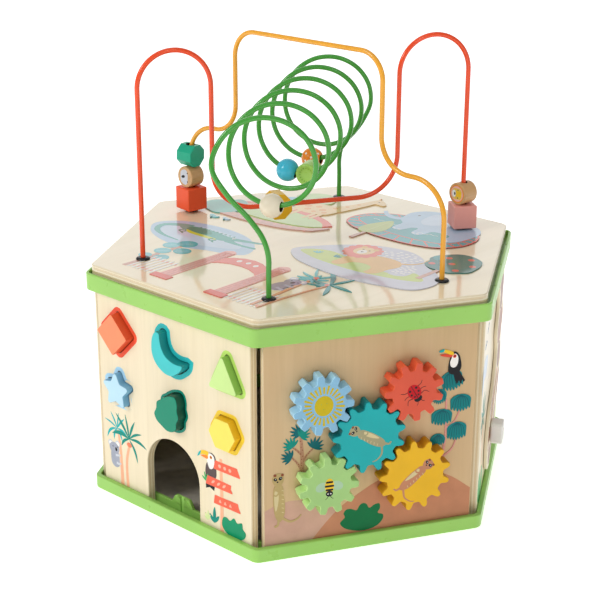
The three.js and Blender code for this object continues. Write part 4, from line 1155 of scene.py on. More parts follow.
def slim_animal(f, x, y, turn=0, s=1.0, flip=1, body="tan", belly="tan_l"):
    """A plain slim upright animal with dark eye patches and a long tail."""
    g = lambda pts: moved([(flip * a, b) for a, b in pts], x, y, turn, s)
    f.put(g(stroke([(4, -18), (12, -22), (20, -20), (23, -17)], 2.4, 1.0)), INK[body])
    f.put(g(smooth([(-4, 12), (-5.5, 2), (-5, -8), (-3, -17), (1, -21), (5.4, -16), (6.4, -6), (5, 4), (3.6, 12)], 44)), INK[body])
    f.put(g(smooth([(-3.6, 8), (-4.6, -2), (-3, -11), (-0.6, -4), (-0.6, 6)], 30)), INK[belly])
    f.put(g(smooth([(-6.5, 17.5), (-4.6, 22.2), (0, 23.4), (4.4, 21.8), (5, 16.5), (1.5, 12.2), (-2.8, 12.2)], 36)), INK[body])
    f.put(g(ellipse(-3.6, 22.0, 1.5, 1.2)), INK["brown"])
    f.put(g(ellipse(3.8, 21.8, 1.5, 1.2)), INK["brown"])
    f.put(g(ellipse(-3.4, 18.4, 1.9, 1.4, -20)), INK["black"])
    f.put(g(ellipse(1.9, 18.9, 2.0, 1.5, 20)), INK["black"])
    f.put(g(circle(2.3, 19.2, 0.42, 12)), INK["white"])
    f.put(g(circle(-3.1, 18.7, 0.38, 12)), INK["white"])
    f.put(g(ellipse(-1.2, 16.0, 0.9, 0.7)), INK["black"])
    f.put(g(stroke([(2.0, 8), (-2.6, 3.5), (-5.4, 5)], 1.8, 1.2)), INK[body])
    f.put(g(stroke([(0, -19), (-1.2, -24), (-4.4, -25)], 2.4, 1.6)), INK[body])
    for i in range(6):
        yy = 8 - i * 4
        f.put(g(stroke([(3.0, yy), (5.4, yy - 0.8)], 0.7, 0.5, curved=False)), INK[belly])


slim_animal(fb, -79.5, 54, 0, 1.0, 0.84, "fur", "fur_l")


def umbel(f, x, y, w=9.4, h=15.0, turn=0):
    """A dome of hanging leaves with its top at (x, y)."""
    top = [(w * math.cos(rad(a)), -5.4 + 5.4 * math.sin(rad(a))) for a in range(0, 181, 12)]
    fringe, n = [], 7
    for i in range(n):
        x0, x1 = -w + 2 * w * i / n, -w + 2 * w * (i + 1) / n
        dip = h - 3.0 * abs((x0 + x1) / 2 / w) ** 1.6
        fringe += [(x0 + (x1 - x0) * 0.22, -dip + 1.1), ((x0 + x1) / 2, -dip), (x0 + (x1 - x0) * 0.80, -dip + 1.0)]
        if i < n - 1:
            fringe.append((x1, -dip + 3.4))
    f.put(moved(top + fringe, x, y, turn), INK["frond"])
    for k in (-3, -2, -1, 0, 1, 2, 3):
        ex = 0.27 * k * w
        f.put(moved(stroke([(0.06 * ex, -0.8), (0.72 * ex, -4.2), (ex, -h + 4.6)], 0.75, 0.5), x, y, turn), INK["frond_d"])


fb.put(stroke([(62, 62), (66, 84), (66.5, 100), (66, 124)], 2.0, 1.4), INK["rose"])
fb.put(stroke([(66.6, 98), (74, 103), (79, 114)], 1.5, 1.0), INK["rose"])
fb.put(stroke([(65, 72), (72, 77), (77, 88)], 1.5, 1.0), INK["rose"])
umbel(fb, 60.5, 134, 6.2, 14, -6)
umbel(fb, 68.6, 149, 9.6, 18, 12)
umbel(fb, 79, 127, 9.4, 16, 0)
umbel(fb, 62.6, 115.6, 9.4, 15.2, -2)
umbel(fb, 76.4, 102, 8.9, 17, 0)
umbel(fb, 60, 93.5, 6.8, 12, -6)
# a plain dark bird with a white bib and a three-colour bill
fb.put([(71, 148), (76, 149), (82, 139.4), (80.6, 138), (79.6, 140.4), (78, 136.6), (76.4, 140), (74.6, 136.6), (72.6, 141.4)], INK["black"])
fb.put(smooth([(66.6, 153.4), (67, 148), (71, 145.8), (75.6, 147.4), (78, 151.4), (77.6, 157), (75.8, 162.8), (72.8, 165.8), (69.6, 165.2), (67.8, 160)], 44), INK["black"])
fb.put(smooth([(67.8, 157), (68.8, 153.2), (71.2, 152), (73.8, 153.4), (75.0, 158), (74.4, 162.2), (72, 164.4), (70, 163), (68.8, 160)], 40), INK["white"])
fb.put(circle(71.7, 162.2, 1.6, 24), INK["coral_d"])
fb.put(circle(71.7, 162.2, 0.8, 18), INK["black"])
fb.put(smooth([(70.8, 165.2), (66, 168), (62, 168.9), (59, 168.0), (63, 166.2), (68, 163.8), (70.4, 163.2)], 36), INK["yellow"])
fb.put(smooth([(57.8, 167.2), (59.6, 168.8), (62.8, 168.9), (61.4, 166.9)], 20), INK["turq"])
fb.put(smooth([(69.8, 163.0), (64.5, 164.6), (58.8, 164.4), (63, 162.6), (69.4, 161.8)], 30), INK["coral_d"])
fb.done("body")


def gear_outline(c, teeth, tip, root, phase, slack=0.5, module=4.3):
    rp = module * teeth / 2
    rb = rp * math.cos(rad(18))

    def inv(r):
        x = math.acos(min(1.0, rb / r))
        return math.tan(x) - x
    half = math.pi / (2 * teeth) - slack / (2 * rp) + inv(rp)
    radii = [root, max(rb, root + 0.8) + 0.2, (rp + tip) / 2 - 1.2, (rp + tip) / 2 + 0.6, tip]
    pts, rr = [], []
    for k in range(teeth):
        a = rad(phase) + 2 * math.pi * k / teeth
        ws = [half + 0.035] + [half - inv(max(r, rb)) for r in radii[1:4]] + [half - inv(tip) - 0.2 / tip]
        for i in range(5):
            pts.append((radii[i], a - ws[i])), rr.append((1.4, 0, 0, 0, 1.5)[i])
        for i in range(4, -1, -1):
            pts.append((radii[i], a + ws[i])), rr.append((1.4, 0, 0, 0, 1.5)[i])
    xy = [(c[0] + r * math.cos(a), c[1] + r * math.sin(a)) for r, a in pts]
    return rounded(xy, rr, 3)


TEAL = (-6.0, 104.9)


def meshed(dx, dy, dist):
    n = math.hypot(dx, dy)
    return (TEAL[0] + dx * dist / n, TEAL[1] + dy * dist / n)


def mesh_phase(c, teeth):
    beta = math.degrees(math.atan2(c[1] - TEAL[1], c[0] - TEAL[0]))
    return beta + 180 + ((beta - 10.2) / (360 / 13) - 0.5) * (360 / teeth)


GB, GR, GL, GY = meshed(-39.2, 33.3, 51.8), meshed(39.2, 36, 51.8), meshed(-34.8, -39.7, 51.8), meshed(42.2, -41.8, 58.0)
GEARS = {"teal": (TEAL, 13, 31.8, 25.4, 10.2, "05a9ab", "06898c"), "blue": (GB, 11, 26.0, 19.3, mesh_phase(GB, 11), "86b8d6", "a6d6f0"), "red": (GR, 11, 26.0, 19.3, mesh_phase(GR, 11), "d9553a", "e8603c"),
         "lime": (GL, 11, 26.0, 19.3, mesh_phase(GL, 11), "a0c97c", "bfe795"), "yellow": (GY, 13, 31.8, 25.4, mesh_phase(GY, 13), "e6b20e", "cf9410")}
for nm, (c, n, tip, root, ph, face, side) in GEARS.items():
    pts = gear_outline(c, n, tip, root, ph)
    mf, ms = paint("gear_face_" + nm, face, 0.36, 0.25), paint("gear_side_" + nm, side, 0.40, 0.2)
    V, F, mi = prism_data(pts, 0.8, 13, (), 0.8, 3)
    ob = make("cog_" + nm, V, F, [mf, ms], MB, None, 35)
    ob.data.polygons.foreach_set("material_index", [0 if abs(p.normal.z) > 0.75 else 1 for p in ob.data.polygons])
    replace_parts(ob, "gear_" + nm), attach(ob, "gear_" + nm), ob
    f = Film("print_cog_" + nm, MB, 13.0)
    x, y = c
    if nm == "blue":      # sun
        f.put(ellipse(x, y, 8.0, 8.8), INK["mustard"])
        for i in range(26):
            a = 2 * math.pi * (i + 0.5) / 26
            r0, r1 = (10.2, 17.6) if i % 2 else (10.6, 16.4)
            f.put(stroke([(x + r0 * math.cos(a), y + r0 * math.sin(a)), (x + r1 * math.cos(a), y + r1 * math.sin(a))], 1.3, 1.9, curved=False), INK["mustard"])
        for dx, dy in ((-2.2, 1.6), (2.4, 1.9), (-0.4, -2.8)):
            f.put(circle(x + dx, y + dy, 0.55, 12), INK["olive"])
    elif nm == "red":     # beetle
        for sx in (-1, 1):
            for dy, tipy in ((3.5, 6), (-0.5, -1), (-4, -7)):
                f.put(moved(stroke([(sx * 4, dy), (sx * 8, dy + 0.5), (sx * 10.5, tipy)], 0.6, 0.4), x, y, 30), INK["black"])
            f.put(moved(stroke([(sx * 1.2, -8), (sx * 2.4, -10.6), (sx * 3.8, -11.4)], 0.5, 0.4), x, y, 30), INK["black"])
        f.put(moved(ellipse(0, -6.4, 3.6, 2.8), x, y, 30), INK["black"])
        f.put(moved(ellipse(0, 0.6, 5.8, 6.6), x, y, 30), ink("ink_beetle", "c3161f"))
        f.put(moved(stroke([(0, -5.6), (0, 7)], 0.7, 0.5, curved=False), x, y, 30), INK["black"])
        for dx, dy, r in ((-3, 3.2, 1.1), (3, 3.2, 1.1), (-3.4, -0.6, 1.0), (3.4, -0.6, 1.0), (-1.8, -3.4, 0.8), (1.8, -3.4, 0.8)):
            f.put(moved(circle(dx, dy, r, 18), x, y, 30), INK["black"])
    elif nm == "lime":    # bee
        for sx in (-1, 1):
            f.put(moved(ellipse(sx * 6.6, 0.2, 5.4, 4.0, sx * -24), x, y), INK["wing"])
        f.put(moved(ellipse(0, 0.6, 3.9, 6.6), x, y), INK["yellow"])
        for dy, hw_ in ((3.9, 3.0), (0.4, 3.9), (-3.0, 3.2)):
            f.put(moved(box2(-hw_, dy - 0.9, hw_, dy + 0.9, 0.6), x, y), INK["black"])
        f.put(moved(ellipse(0, -6.4, 3.1, 2.6), x, y), INK["black"])
        f.put(moved(circle(-1.2, -6.6, 0.6, 12), x, y), INK["white"])
        f.put(moved(circle(1.2, -6.6, 0.6, 12), x, y), INK["white"])
        for sx in (-1, 1):
            f.put(moved(stroke([(sx * 0.8, -8.6), (sx * 2.4, -10.8), (sx * 3.4, -11.2)], 0.45, 0.35), x, y), INK["black"])
    elif nm == "teal":
        slim_animal(f, x - 0.5, y + 0.5, 62, 0.80, -1, "fur_g", "fur_l")
    else:
        slim_animal(f, x - 0.5, y, -54, 0.82, 1, "terra", "fur_l")
    f.done("gear_" + nm)
for nm in GEARS:
    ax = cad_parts["axle_" + nm]
    ax.data.materials.clear()
    ax.data.materials.append(NAT)

# ------------------------------------------------------- prints on the top board
def gloss(name, c, var=0.05):
    """Printed ink under the top board's thick clear lacquer."""
    if name in _cache:
        return _cache[name]
    m = Mat(name, 0.42, 0.3, 0.85, 0.08)
    m.b.inputs["Coat IOR"].default_value = TOP_IOR
    base = lin(c)
    n1 = m.noise(m.mapping((1, 1, 1)), 60, 3)
    n2 = m.noise(m.mapping((420, 24, 30)), 1.0, 4, 0.6)
    col = m.ramp(n1, [(0.3, scaled(base, 1 - var)), (0.7, scaled(base, 1 + var))])
    col = m.mix(m.math("MULTIPLY", n2, 0.12), col, scaled(base, 0.9))
    m.color(col)
    m.bump([(m.noise(m.mapping((1, 1, 1)), 90, 2), 0.03, 0.1)])
    _cache[name] = m.m
    return m.m


TI = {k: gloss("top_" + k, v) for k, v in dict(
    coral="e8705f", coral_d="df5a4c", coral_p="eda79a", rose="d9938a", dusty="d3a297", turq="23a9b0", turq_p="6cc3cb", teal="128f92", teal_d="0f6f68", pondrim="e85a48",
    pond="3aa3a8", sky="aecbe4", sky_p="c4d7ea", lilac="b3b4cc", lilac_p="c9cad8", croc="3fa79c", croc_d="0c8f77", lime="cfd62a", lens="c3d46f", lens_p="cfdc8c",
    mint="bfd795", sand="e6b566", sand_p="eac98d", straw="dba63f", white="efece6", grey="9b97ad", grey_d="67697c", dark="3a3038", peach="e2a27d", orange="e9a45c",
    bush="63b3a4", bluep="7fc2d8", trunk="cf9c8b", leafg="b9c86a").items()}
ft = Film("print_top", Matrix.Identity(4), 213.4)


def put(pts, col, holes=(), level=None):
    ft.put(pts, TI[col], holes, level)


# pond with a long low animal
put(smooth([(-147, -50), (-134, -31), (-104, -21), (-72, -20), (-44, -28), (-24, -44), (-18, -62), (-30, -70), (-52, -76), (-74, -84), (-104, -82), (-132, -70)], 72), "sky")
put(smooth([(-132, -52), (-122, -38), (-98, -30), (-66, -31), (-42, -41), (-34, -55), (-50, -64), (-76, -72), (-106, -71), (-126, -63)], 60), "sky_p")
put(stroke([(-112, -36), (-126, -40), (-137, -50), (-132, -62), (-116, -70), (-92, -73)], 9.5, 1.6, 26), "croc")
put(smooth([(-122, -42), (-112, -34.5), (-98, -32), (-80, -33), (-66, -35), (-52, -33.5), (-38, -30.5), (-27, -28.5), (-27, -31), (-42, -37), (-52, -41), (-56, -45), (-68, -49), (-86, -50), (-106, -49)], 90), "croc")
put(smooth([(-56, -41), (-46, -43.5), (-34, -44), (-23, -43), (-22, -45.5), (-34, -47.5), (-48, -48), (-60, -47)], 40), "croc")
put(smooth([(-112, -37), (-102, -34), (-88, -35), (-82, -41), (-90, -46), (-102, -46.5), (-112, -43)], 44), "croc_d")
put(smooth([(-110, -45), (-98, -46.6), (-82, -46.4), (-68, -48), (-70, -50.4), (-86, -51.4), (-104, -50)], 40), "lime")
for x, y in ((-112, -49), (-107, -51), (-72, -50), (-67, -51.5)):
    put(stroke([(x, y + 2), (x - 1.5, y - 2), (x + 2.6, y - 4.5)], 3.0, 1.4), "croc_d")
for i in range(9):
    x = -104 + i * 5.4
    put([(x - 1.6, -33.4), (x + 1.6, -33.4), (x, -30.6)], "croc_d")
put(circle(-57.5, -36.4, 1.5, 20), "white")
put(circle(-57.0, -36.4, 0.8, 16), "dark")
# round-leafed tree
put(stroke([(-76, -84), (-78, -104), (-75.5, -128), (-76, -152)], 3.4, 4.6), "trunk")
for a, b in (((-77, -92), (-85, -87)), ((-77.5, -98), (-67, -93)), ((-77, -112), (-68, -116)), ((-76.5, -118), (-83, -121)), ((-78, -104), (-80, -103))):
    put(stroke([a, b], 1.4, 0.9, curved=False), "trunk")
for x, y, r, c in ((-86, -87, 8.0, "turq_p"), (-77, -75.5, 9.6, "turq"), (-66, -92.5, 8.4, "turq"), (-80, -103, 8.0, "turq_p"), (-67.5, -116.5, 7.4, "turq_p"), (-83, -121, 6.2, "turq_p")):
    put(ellipse(x, y, r, r * 0.92, 12), c)
    put(stroke([(x - r * 0.5, y - r * 0.5), (x, y), (x + r * 0.55, y + r * 0.5)], 0.5, 0.3), "sky_p")
# gateway, two low fences
for x0, x1 in ((-74, -42), (42.5, 82)):
    for yy in (-122.5, -146):
        put([(x0, yy - 1.0), (x1, yy - 1.0), (x1, yy + 1.0), (x0, yy + 1.0)], "coral_p")
    n = int((x1 - x0) / 4.7)
    for i in range(n):
        x = x0 + (i + 0.5) * (x1 - x0) / n
        put([(x - 1.25, -151.5), (x + 1.25, -151.5), (x + 1.25, -118.5), (x, -116.6), (x - 1.25, -118.5)], "white")
arch_out = [(27 * math.cos(rad(t)), -94 + 27 * math.sin(rad(t)) * 0.98) for t in range(0, 181, 9)]
band = [(-25.5, -98), (-25.5, -82), (-20, -75.4), (-10, -70), (0.5, -68.2), (11, -70), (21, -75), (27.5, -81), (28.5, -98), (22, -92.8), (12, -88.6), (1.5, -87.2), (-10, -88.6), (-20, -93)]
put(band, "coral")
for x, y in ((-9, -78.3), (0.8, -77.2), (10.6, -78.3)):
    put(moved(leaf(-3.1, 0, 3.1, 0, 4.8), x, y, 90), "white")
for cx in (-31.0, 34.0):
    put(rounded([(cx - 6.6, -146), (cx + 6.6, -146), (cx + 6.6, -66), (cx, -61), (cx - 6.6, -66)], [0, 0, 3, 4, 3], 4), "coral_p")
    for i in range(22):
        yy = -143.6 + i * 3.55
        sh = 1.1 if i % 2 else -1.1
        put([(cx - 5.8, yy - 1.25), (cx + sh - 0.35, yy - 1.25), (cx + sh - 0.35, yy + 1.25), (cx - 5.8, yy + 1.25)], "rose")
        put([(cx + sh + 0.35, yy - 1.25), (cx + 5.8, yy - 1.25), (cx + 5.8, yy + 1.25), (cx + sh + 0.35, yy + 1.25)], "rose")
    put(rounded([(cx - 10.5, -154), (cx + 10.5, -154), (cx + 10.5, -145.4), (cx - 10.5, -145.4)], 0.8, 2), "coral_d")
# two palms and a round-eared grey animal
put(stroke([(73, -148), (72, -118), (70, -90), (69.5, -68)], 3.2, 2.4), "peach")
put(stroke([(80, -150), (82, -124), (85, -98), (89, -74)], 2.4, 1.8), "peach")
for a, L, wd, bd in ((127, 24, 2.6, 0.6), (165, 20, 2.6, 1.2), (200, 17, 3.6, 2), (225, 15, 4.0, 2.4), (95, 9, 2.4, 0), (60, 17, 2.6, -1), (250, 11, 4.2, 1), (15, 12, 3, -2), (-60, 12, 3.6, -2)):
    put(leaf(69.5, -67, 69.5 + L * math.cos(rad(a)), -67 + L * math.sin(rad(a)), wd, bd), "turq_p")
put(circle(70, -67, 2.6, 24), "coral")
for a, L, wd, bd in ((131, 36, 4.6, -3), (72, 26, 3.2, 0), (-3, 25, 3.8, 0.6), (-62, 26, 4.0, 1), (212, 19, 3.6, 1.4), (178, 21, 4.2, 2), (240, 12, 3, 1)):
    put(leaf(89, -71.5, 89 + L * math.cos(rad(a)), -71.5 + L * math.sin(rad(a)), wd, bd), "teal")
put(circle(88, -74, 2.2, 24), "coral")
gk = lambda p: moved(p, 61, -95, -10, 1.05)
put(gk(smooth([(-4.5, 2), (-6.4, -5), (-5, -12), (0, -15.5), (5.4, -13), (6.6, -6), (5, 2)], 36)), "grey")
for ex in (-5.4, 5.6):
    put(gk(circle(ex, 12.5, 3.7)), "lilac_p")
    put(gk(circle(ex, 12.2, 2.0)), "white")
put(gk(ellipse(0, 7.0, 7.4, 6.8)), "grey")
put(gk(ellipse(1.4, 6.0, 1.7, 2.3, 0)), "dark")
put(gk(circle(-3, 8.4, 0.8, 14)), "dark")
put(gk(circle(4.4, 8.8, 0.8, 14)), "dark")
put(gk(stroke([(1, -2), (6, -1.5), (10, 0)], 2.8, 1.8)), "lilac")
put(gk(stroke([(1.5, -10), (6, -10.5), (9.6, -9)], 3.0, 1.8)), "lilac")
# pale clearing with a maned animal at rest
put(smooth([(2, -22), (14, 0), (34, 22), (56, 36), (84, 41), (104, 34), (118, 20), (140, 8), (153, -10), (148, -34), (122, -44), (86, -50), (48, -47), (18, -38)], 84), "lilac_p")
put(smooth([(9, -19), (18, -9), (34, -4), (52, -8), (76, -14), (100, -16), (119, -15), (122, -2), (130, -4), (141, -14), (128, -22), (108, -27), (84, -31), (56, -31), (26, -27)], 84), "lens")
put(smooth([(84, 14), (98, 12), (104, 2), (101, -12), (110, -18), (121, -14), (121, 0), (112, 14), (102, 26), (84, 36), (70, 35), (72, 22)], 60), "lilac_p")
for i in range(34):
    a, rr = i * 2.39996, 3.0 * math.sqrt(i + 0.6)
    x, y = 88 + rr * 1.25 * math.cos(a), 23 + rr * 0.78 * math.sin(a)
    put(ellipse(x, y, 1.6, 1.2, 20, 14), "white", level=ft.layer + 1)
ft.layer += 1
for i in range(22):
    a, rr = i * 2.39996, 2.6 * math.sqrt(i + 0.6)
    put(ellipse(112 + rr * 0.7 * math.cos(a), -1 + rr * 1.05 * math.sin(a), 1.5, 1.1, 20, 14), "white", level=ft.layer + 1)
ft.layer += 1
put(stroke([(100, 10), (106, 13), (111, 20), (113, 30)], 3.0, 1.4), "straw")
put(ellipse(113.4, 32, 2.6, 4.0, -20), "straw")
put(smooth([(52, -2), (60, 8), (72, 13), (88, 14.5), (99, 11), (104, 2), (101, -10), (99, -24), (93, -29), (87, -26), (86, -16), (76, -12), (66, -14), (62, -24), (56, -29), (51, -26), (51, -14)], 80), "sand")
put(smooth([(66, -15), (76, -11), (86, -15), (88, -26), (78, -29), (66, -27)], 40), "lens")
put(scallop(53, 14, 18.4, 19.2, 14, 0.10, 112), "coral")
put(ellipse(53.5, 15.5, 9.6, 10.4), "sand_p")
for ex in (-6.6, 6.8):
    put(circle(53.5 + ex, 24, 2.8, 24), "sand")
put(smooth([(49.5, 14), (53.5, 18), (57.5, 14), (56.5, 8.6), (53.5, 7), (50.5, 8.6)], 30), "white")
put([(51.6, 13.2), (55.4, 13.2), (53.5, 10.6)], "dark")
put(circle(50, 18.6, 1.0, 16), "dark")
put(circle(57, 18.6, 1.0, 16), "dark")
for x, y, t in ((27, -17, 120), (44, -15, 60)):
    for dd in (-38, -12, 16, 42):
        put(moved(leaf(0, 0, 7.5, 0, 1.8), x, y, t + dd), "turq_p" if x < 30 else "teal")
# round tree with fruit
put(stroke([(132.6, 24), (133, 6), (132.8, -10.5)], 3.8, 5.0), "trunk")
put(smooth([(132, 67), (122, 65), (115, 58), (109, 48), (108, 40), (112, 33), (113, 25), (121, 19), (132, 18), (142, 18), (150, 24), (156, 31), (156, 40), (154, 50), (149, 60), (141, 65)], 96), "teal_d")
put(smooth([(116, 38), (108, 44), (111, 52), (118, 48)], 24), "teal")
for x, y in ((121, 50), (138.5, 58.5), (149.5, 45), (132, 39), (144.5, 27), (118, 29)):
    put(ellipse(x, y, 3.1, 2.9, 0, 22), "coral_d")
# fenced pool with a large pale animal
pool = [(-20, 90), (-18, 78), (-6, 68), (14, 61), (42, 57.5), (70, 59), (92, 66), (106, 80), (110, 98), (104, 118), (92, 131), (86, 128), (97, 112), (100, 99), (96, 108), (86, 118), (60, 121), (32, 119), (8, 112), (-10, 103)]
outer = smooth([(-22, 92), (-19, 76), (-6, 66), (14, 60), (42, 56.5), (72, 58), (96, 66), (109, 82), (111, 102), (103, 120), (88, 130), (60, 134), (30, 130), (4, 122), (-14, 110)], 96)
inner = smooth([(-15, 92), (-8, 84), (10, 77), (40, 72.5), (70, 73), (92, 79), (100, 92), (101, 104), (96, 114), (84, 121), (60, 124), (32, 121), (8, 114), (-9, 103)], 96)
put(outer, "pond")
put(outer, "pondrim", [grow(outer, -1.7)])
put(grow(inner, 1.5), "pondrim", [inner])
for i in range(26):
    a = 2 * math.pi * i / 26
    p, q = min(outer, key=lambda w_: abs(math.atan2((w_[1] - 94) * 2, w_[0] - 44) - (a if a <= math.pi else a - 2 * math.pi))), \
        min(inner, key=lambda w_: abs(math.atan2((w_[1] - 96) * 2, w_[0] - 44) - (a if a <= math.pi else a - 2 * math.pi)))
    d = math.hypot(p[0] - q[0], p[1] - q[1])
    k = 1.0 / d
    put(stroke([(p[0] + (q[0] - p[0]) * k, p[1] + (q[1] - p[1]) * k), (q[0] + (p[0] - q[0]) * k * 0.7, q[1] + (p[1] - q[1]) * k * 0.7)], 1.6, 1.6, curved=False), "pondrim", level=ft.layer + 1)
ft.layer += 1
put(stroke([(22, 118), (10, 112), (-2, 116), (-10, 124)], 9, 3.4, 22), "sky")
put(smooth([(14, 122), (13, 138), (22, 150), (38, 155), (56, 150), (70, 140), (88, 138), (100, 126), (102, 108), (98, 90), (92, 84), (86, 88), (84, 100), (74, 102), (64, 100), (62, 88), (56, 83), (50, 87), (48, 100), (42, 98), (38, 86), (32, 84), (27, 88), (26, 104), (18, 112)], 110), "sky")
put(smooth([(34, 146), (44, 150), (56, 143), (60, 130), (54, 117), (44, 113), (36, 120), (33, 132)], 50), "sky_p")
put(circle(24, 133, 1.5, 18), "dark")
for x, y in ((30, 86.5), (36, 86.5), (53, 86), (58, 86), (90, 87.5)):
    put(ellipse(x, y, 1.7, 1.2, 0, 14), "white", level=ft.layer + 1)
ft.layer += 1
for x0, y0 in ((22, 94), (70, 92), (60, 90), (4, 96)):
    put(stroke([(x0 - 6, y0), (x0 - 2, y0 + 1.3), (x0 + 2, y0), (x0 + 6, y0 + 1.2)], 0.9, 0.6), "white")
# leaf-shaped tree in front of it
put(stroke([(17.5, 66), (17.8, 50), (17.6, 39)], 3.4, 4.4), "trunk")
put(smooth([(16, 102), (22, 96), (27.5, 84), (29, 70), (24, 61), (15, 58.5), (7, 62), (4.5, 74), (9, 90)], 60), "leafg")
put(stroke([(16.5, 62), (16.5, 78), (16, 96)], 0.8, 0.4), "lens_p")
# round meadow, low wall and a long-necked animal
put(smooth([(-140, 46), (-128, 58), (-104, 66), (-76, 68), (-48, 64), (-26, 54), (-20, 44), (-32, 34), (-58, 27), (-88, 25), (-116, 29), (-134, 37)], 84), "mint")
put([(-140.5, 46), (-130, 57.5), (-112, 65), (-92, 69), (-70, 69.5), (-70, 62), (-92, 61.5), (-112, 57), (-128, 50), (-134, 43)], "coral")
put(catmull([(-70, 69.5), (-46, 66), (-26, 59), (-15, 51)], 8, closed=False) + catmull([(-20.5, 43), (-28, 51), (-48, 58), (-70, 61)], 8, closed=False), "coral")
put(catmull([(-132, 12), (-100, 10), (-64, 11.5), (-34, 19), (-14, 32), (-11, 43)], 8, closed=False) + catmull([(-15.5, 44), (-22, 34), (-44, 26), (-70, 22), (-100, 21.5), (-130, 24)], 8, closed=False), "dusty")
for i in range(12):
    t = i / 11
    x = -118 + 92 * t
    put([(x - 1, 14 + 9 * t * t), (x + 1, 14 + 9 * t * t), (x + 1.4, 19 + 10 * t * t), (x - 0.6, 19 + 10 * t * t)], "coral_p", level=ft.layer + 1)
ft.layer += 1
put(smooth([(-160, 30), (-156, 42), (-146, 46), (-140, 56), (-128, 54), (-120, 44), (-114, 32), (-116, 20), (-126, 10), (-140, 12), (-152, 18)], 60), "bush")
put(smooth([(-112, 92), (-104, 100), (-92, 98), (-84, 90), (-86, 80), (-98, 76), (-110, 80)], 44), "bluep")
put(smooth([(-108, 104), (-100, 122), (-84, 128), (-68, 118), (-64, 104), (-72, 96), (-90, 98)], 44), "mint")
for x, y0, y1 in ((-79, 48, 76), (-72, 46, 74), (-54, 52, 76), (-48, 54, 78)):
    put(stroke([(x, y1), (x + 0.4, (y0 + y1) / 2), (x, y0)], 5.2, 3.4), "sand_p")
put(smooth([(-84, 74), (-86, 88), (-78, 97), (-66, 99), (-54, 102), (-48, 112), (-43, 128), (-40, 140), (-36, 148), (-30, 146), (-21, 138), (-22, 134), (-31, 134), (-33, 124), (-36, 106), (-40, 88), (-44, 74), (-56, 68), (-72, 68)], 100), "sand_p")
for x, y, r in ((-76, 86, 4.2), (-66, 90, 3.6), (-70, 78, 3.8), (-56, 84, 4.0), (-50, 96, 3.0), (-45, 108, 2.6), (-41, 121, 2.3), (-60, 75, 2.8), (-49, 78, 3.0)):
    put(rounded(circle(x, y, r, 6, 0.3 * r), 0.8, 3), "orange", level=ft.layer + 1)
ft.layer += 1
put(circle(-32, 141, 1.0, 16), "dark")
put(stroke([(-37, 147), (-38.5, 153)], 1.2, 0.8, curved=False), "orange")
# two small birds
for x, y, s_, c in ((-121, 0, 1.0, "turq_p"), (-106, 1.5, 0.8, "sky")):
    put(moved(smooth([(-6, 0), (-2, 2.6), (3, 2), (6, 4), (5.6, 0), (2, -2.6), (-2, -2.4)], 30), x, y, -20, s_), c)
    put(moved(leaf(-1, 0.4, 3, -4.6, 2.4), x, y, -20, s_), "teal")
ft.done("body")

# ------------------------------------------------------- side C: slanting track
def slot_outline(p, q, r, n=10):
    a = math.atan2(q[1] - p[1], q[0] - p[0])
    out = [(q[0] + r * math.cos(a - math.pi / 2 + math.pi * i / n), q[1] + r * math.sin(a - math.pi / 2 + math.pi * i / n)) for i in range(n + 1)]
    out += [(p[0] + r * math.cos(a + math.pi / 2 + math.pi * i / n), p[1] + r * math.sin(a + math.pi / 2 + math.pi * i / n)) for i in range(n + 1)]
    return out


TRACK0, TRACK1 = (-20, 55), (20, 93)
pc = prism("board_track", PLATE, -8, 0, WOOD_C, MC, holes=[slot_outline(TRACK0, TRACK1, 4.4)], bevel=0.6)
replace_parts(pc, "panel_track"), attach(pc, "body"), pc
track = smooth([(-38, 26), (-45, 50), (-32, 76), (2, 96), (16, 118), (6, 140), (20, 160), (13, 180), (36, 189), (60, 180), (52, 160), (67, 141), (54, 120), (62, 98), (52, 74),
                (24, 50), (4, 30), (-16, 18)], 110)
CREAM = paint("paint_cream", "efe2c6", 0.42, 0.2)
tb = prism("board_wavy", track, 0.3, 3.3, CREAM, MC, holes=[slot_outline(TRACK0, TRACK1, 4.4)], bevel=0.7)
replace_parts(tb, "track_board"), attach(tb, "body"), tb
fcb = Film("print_wavy", MC, 3.3)
for pts, col in ((smooth([(23, 102), (34, 95), (48, 98), (50, 108), (42, 118), (30, 120), (22, 112)], 40), "brown"),
                 (smooth([(15, 127), (26, 122), (42, 122), (57, 134), (58, 142), (46, 150), (30, 152), (16, 143)], 40), "brown_l"),
                 (smooth([(26, 156), (40, 153), (47, 160), (54, 176), (44, 183), (30, 184), (21, 178), (27, 168)], 40), "brown"),
                 (smooth([(30, 60), (42, 72), (49, 84), (44, 90), (33, 86), (28, 72)], 36), "brown_l"),
                 (smooth([(-26, 24), (-14, 24), (0, 34), (-4, 42), (-18, 40), (-30, 34)], 36), "brown"),
                 (smooth([(4, 37), (20, 51), (25, 62), (14, 62), (4, 52), (0, 44)], 36), "brown_l"),
                 (smooth([(-38, 44), (-33, 40), (-29, 47), (-29, 62), (-34, 64), (-40, 54)], 36), "brown_l"),
                 (smooth([(-27, 71), (-15, 72), (-4, 82), (1, 90.5), (-11, 85), (-25, 78)], 36), "brown")):
    fcb.put(pts, INK[col])
fcb.put(grow(slot_outline(TRACK0, TRACK1, 4.4), 2.6), INK["peach"], [grow(slot_outline(TRACK0, TRACK1, 4.4), 0.25)])
fcb.done("body")
fc = Film("print_track", MC, 0.0)
fc.put([(-91.4, 3.7), (91.4, 3.7), (91.4, 36), (60, 44), (30, 38), (0, 22), (-30, 15), (-60, 24), (-91.4, 34)], INK["lime_p"])
fc.put(smooth([(-91, 118), (-78, 128), (-60, 126), (-50, 138), (-66, 146), (-91, 143)], 50), INK["sky_p"])
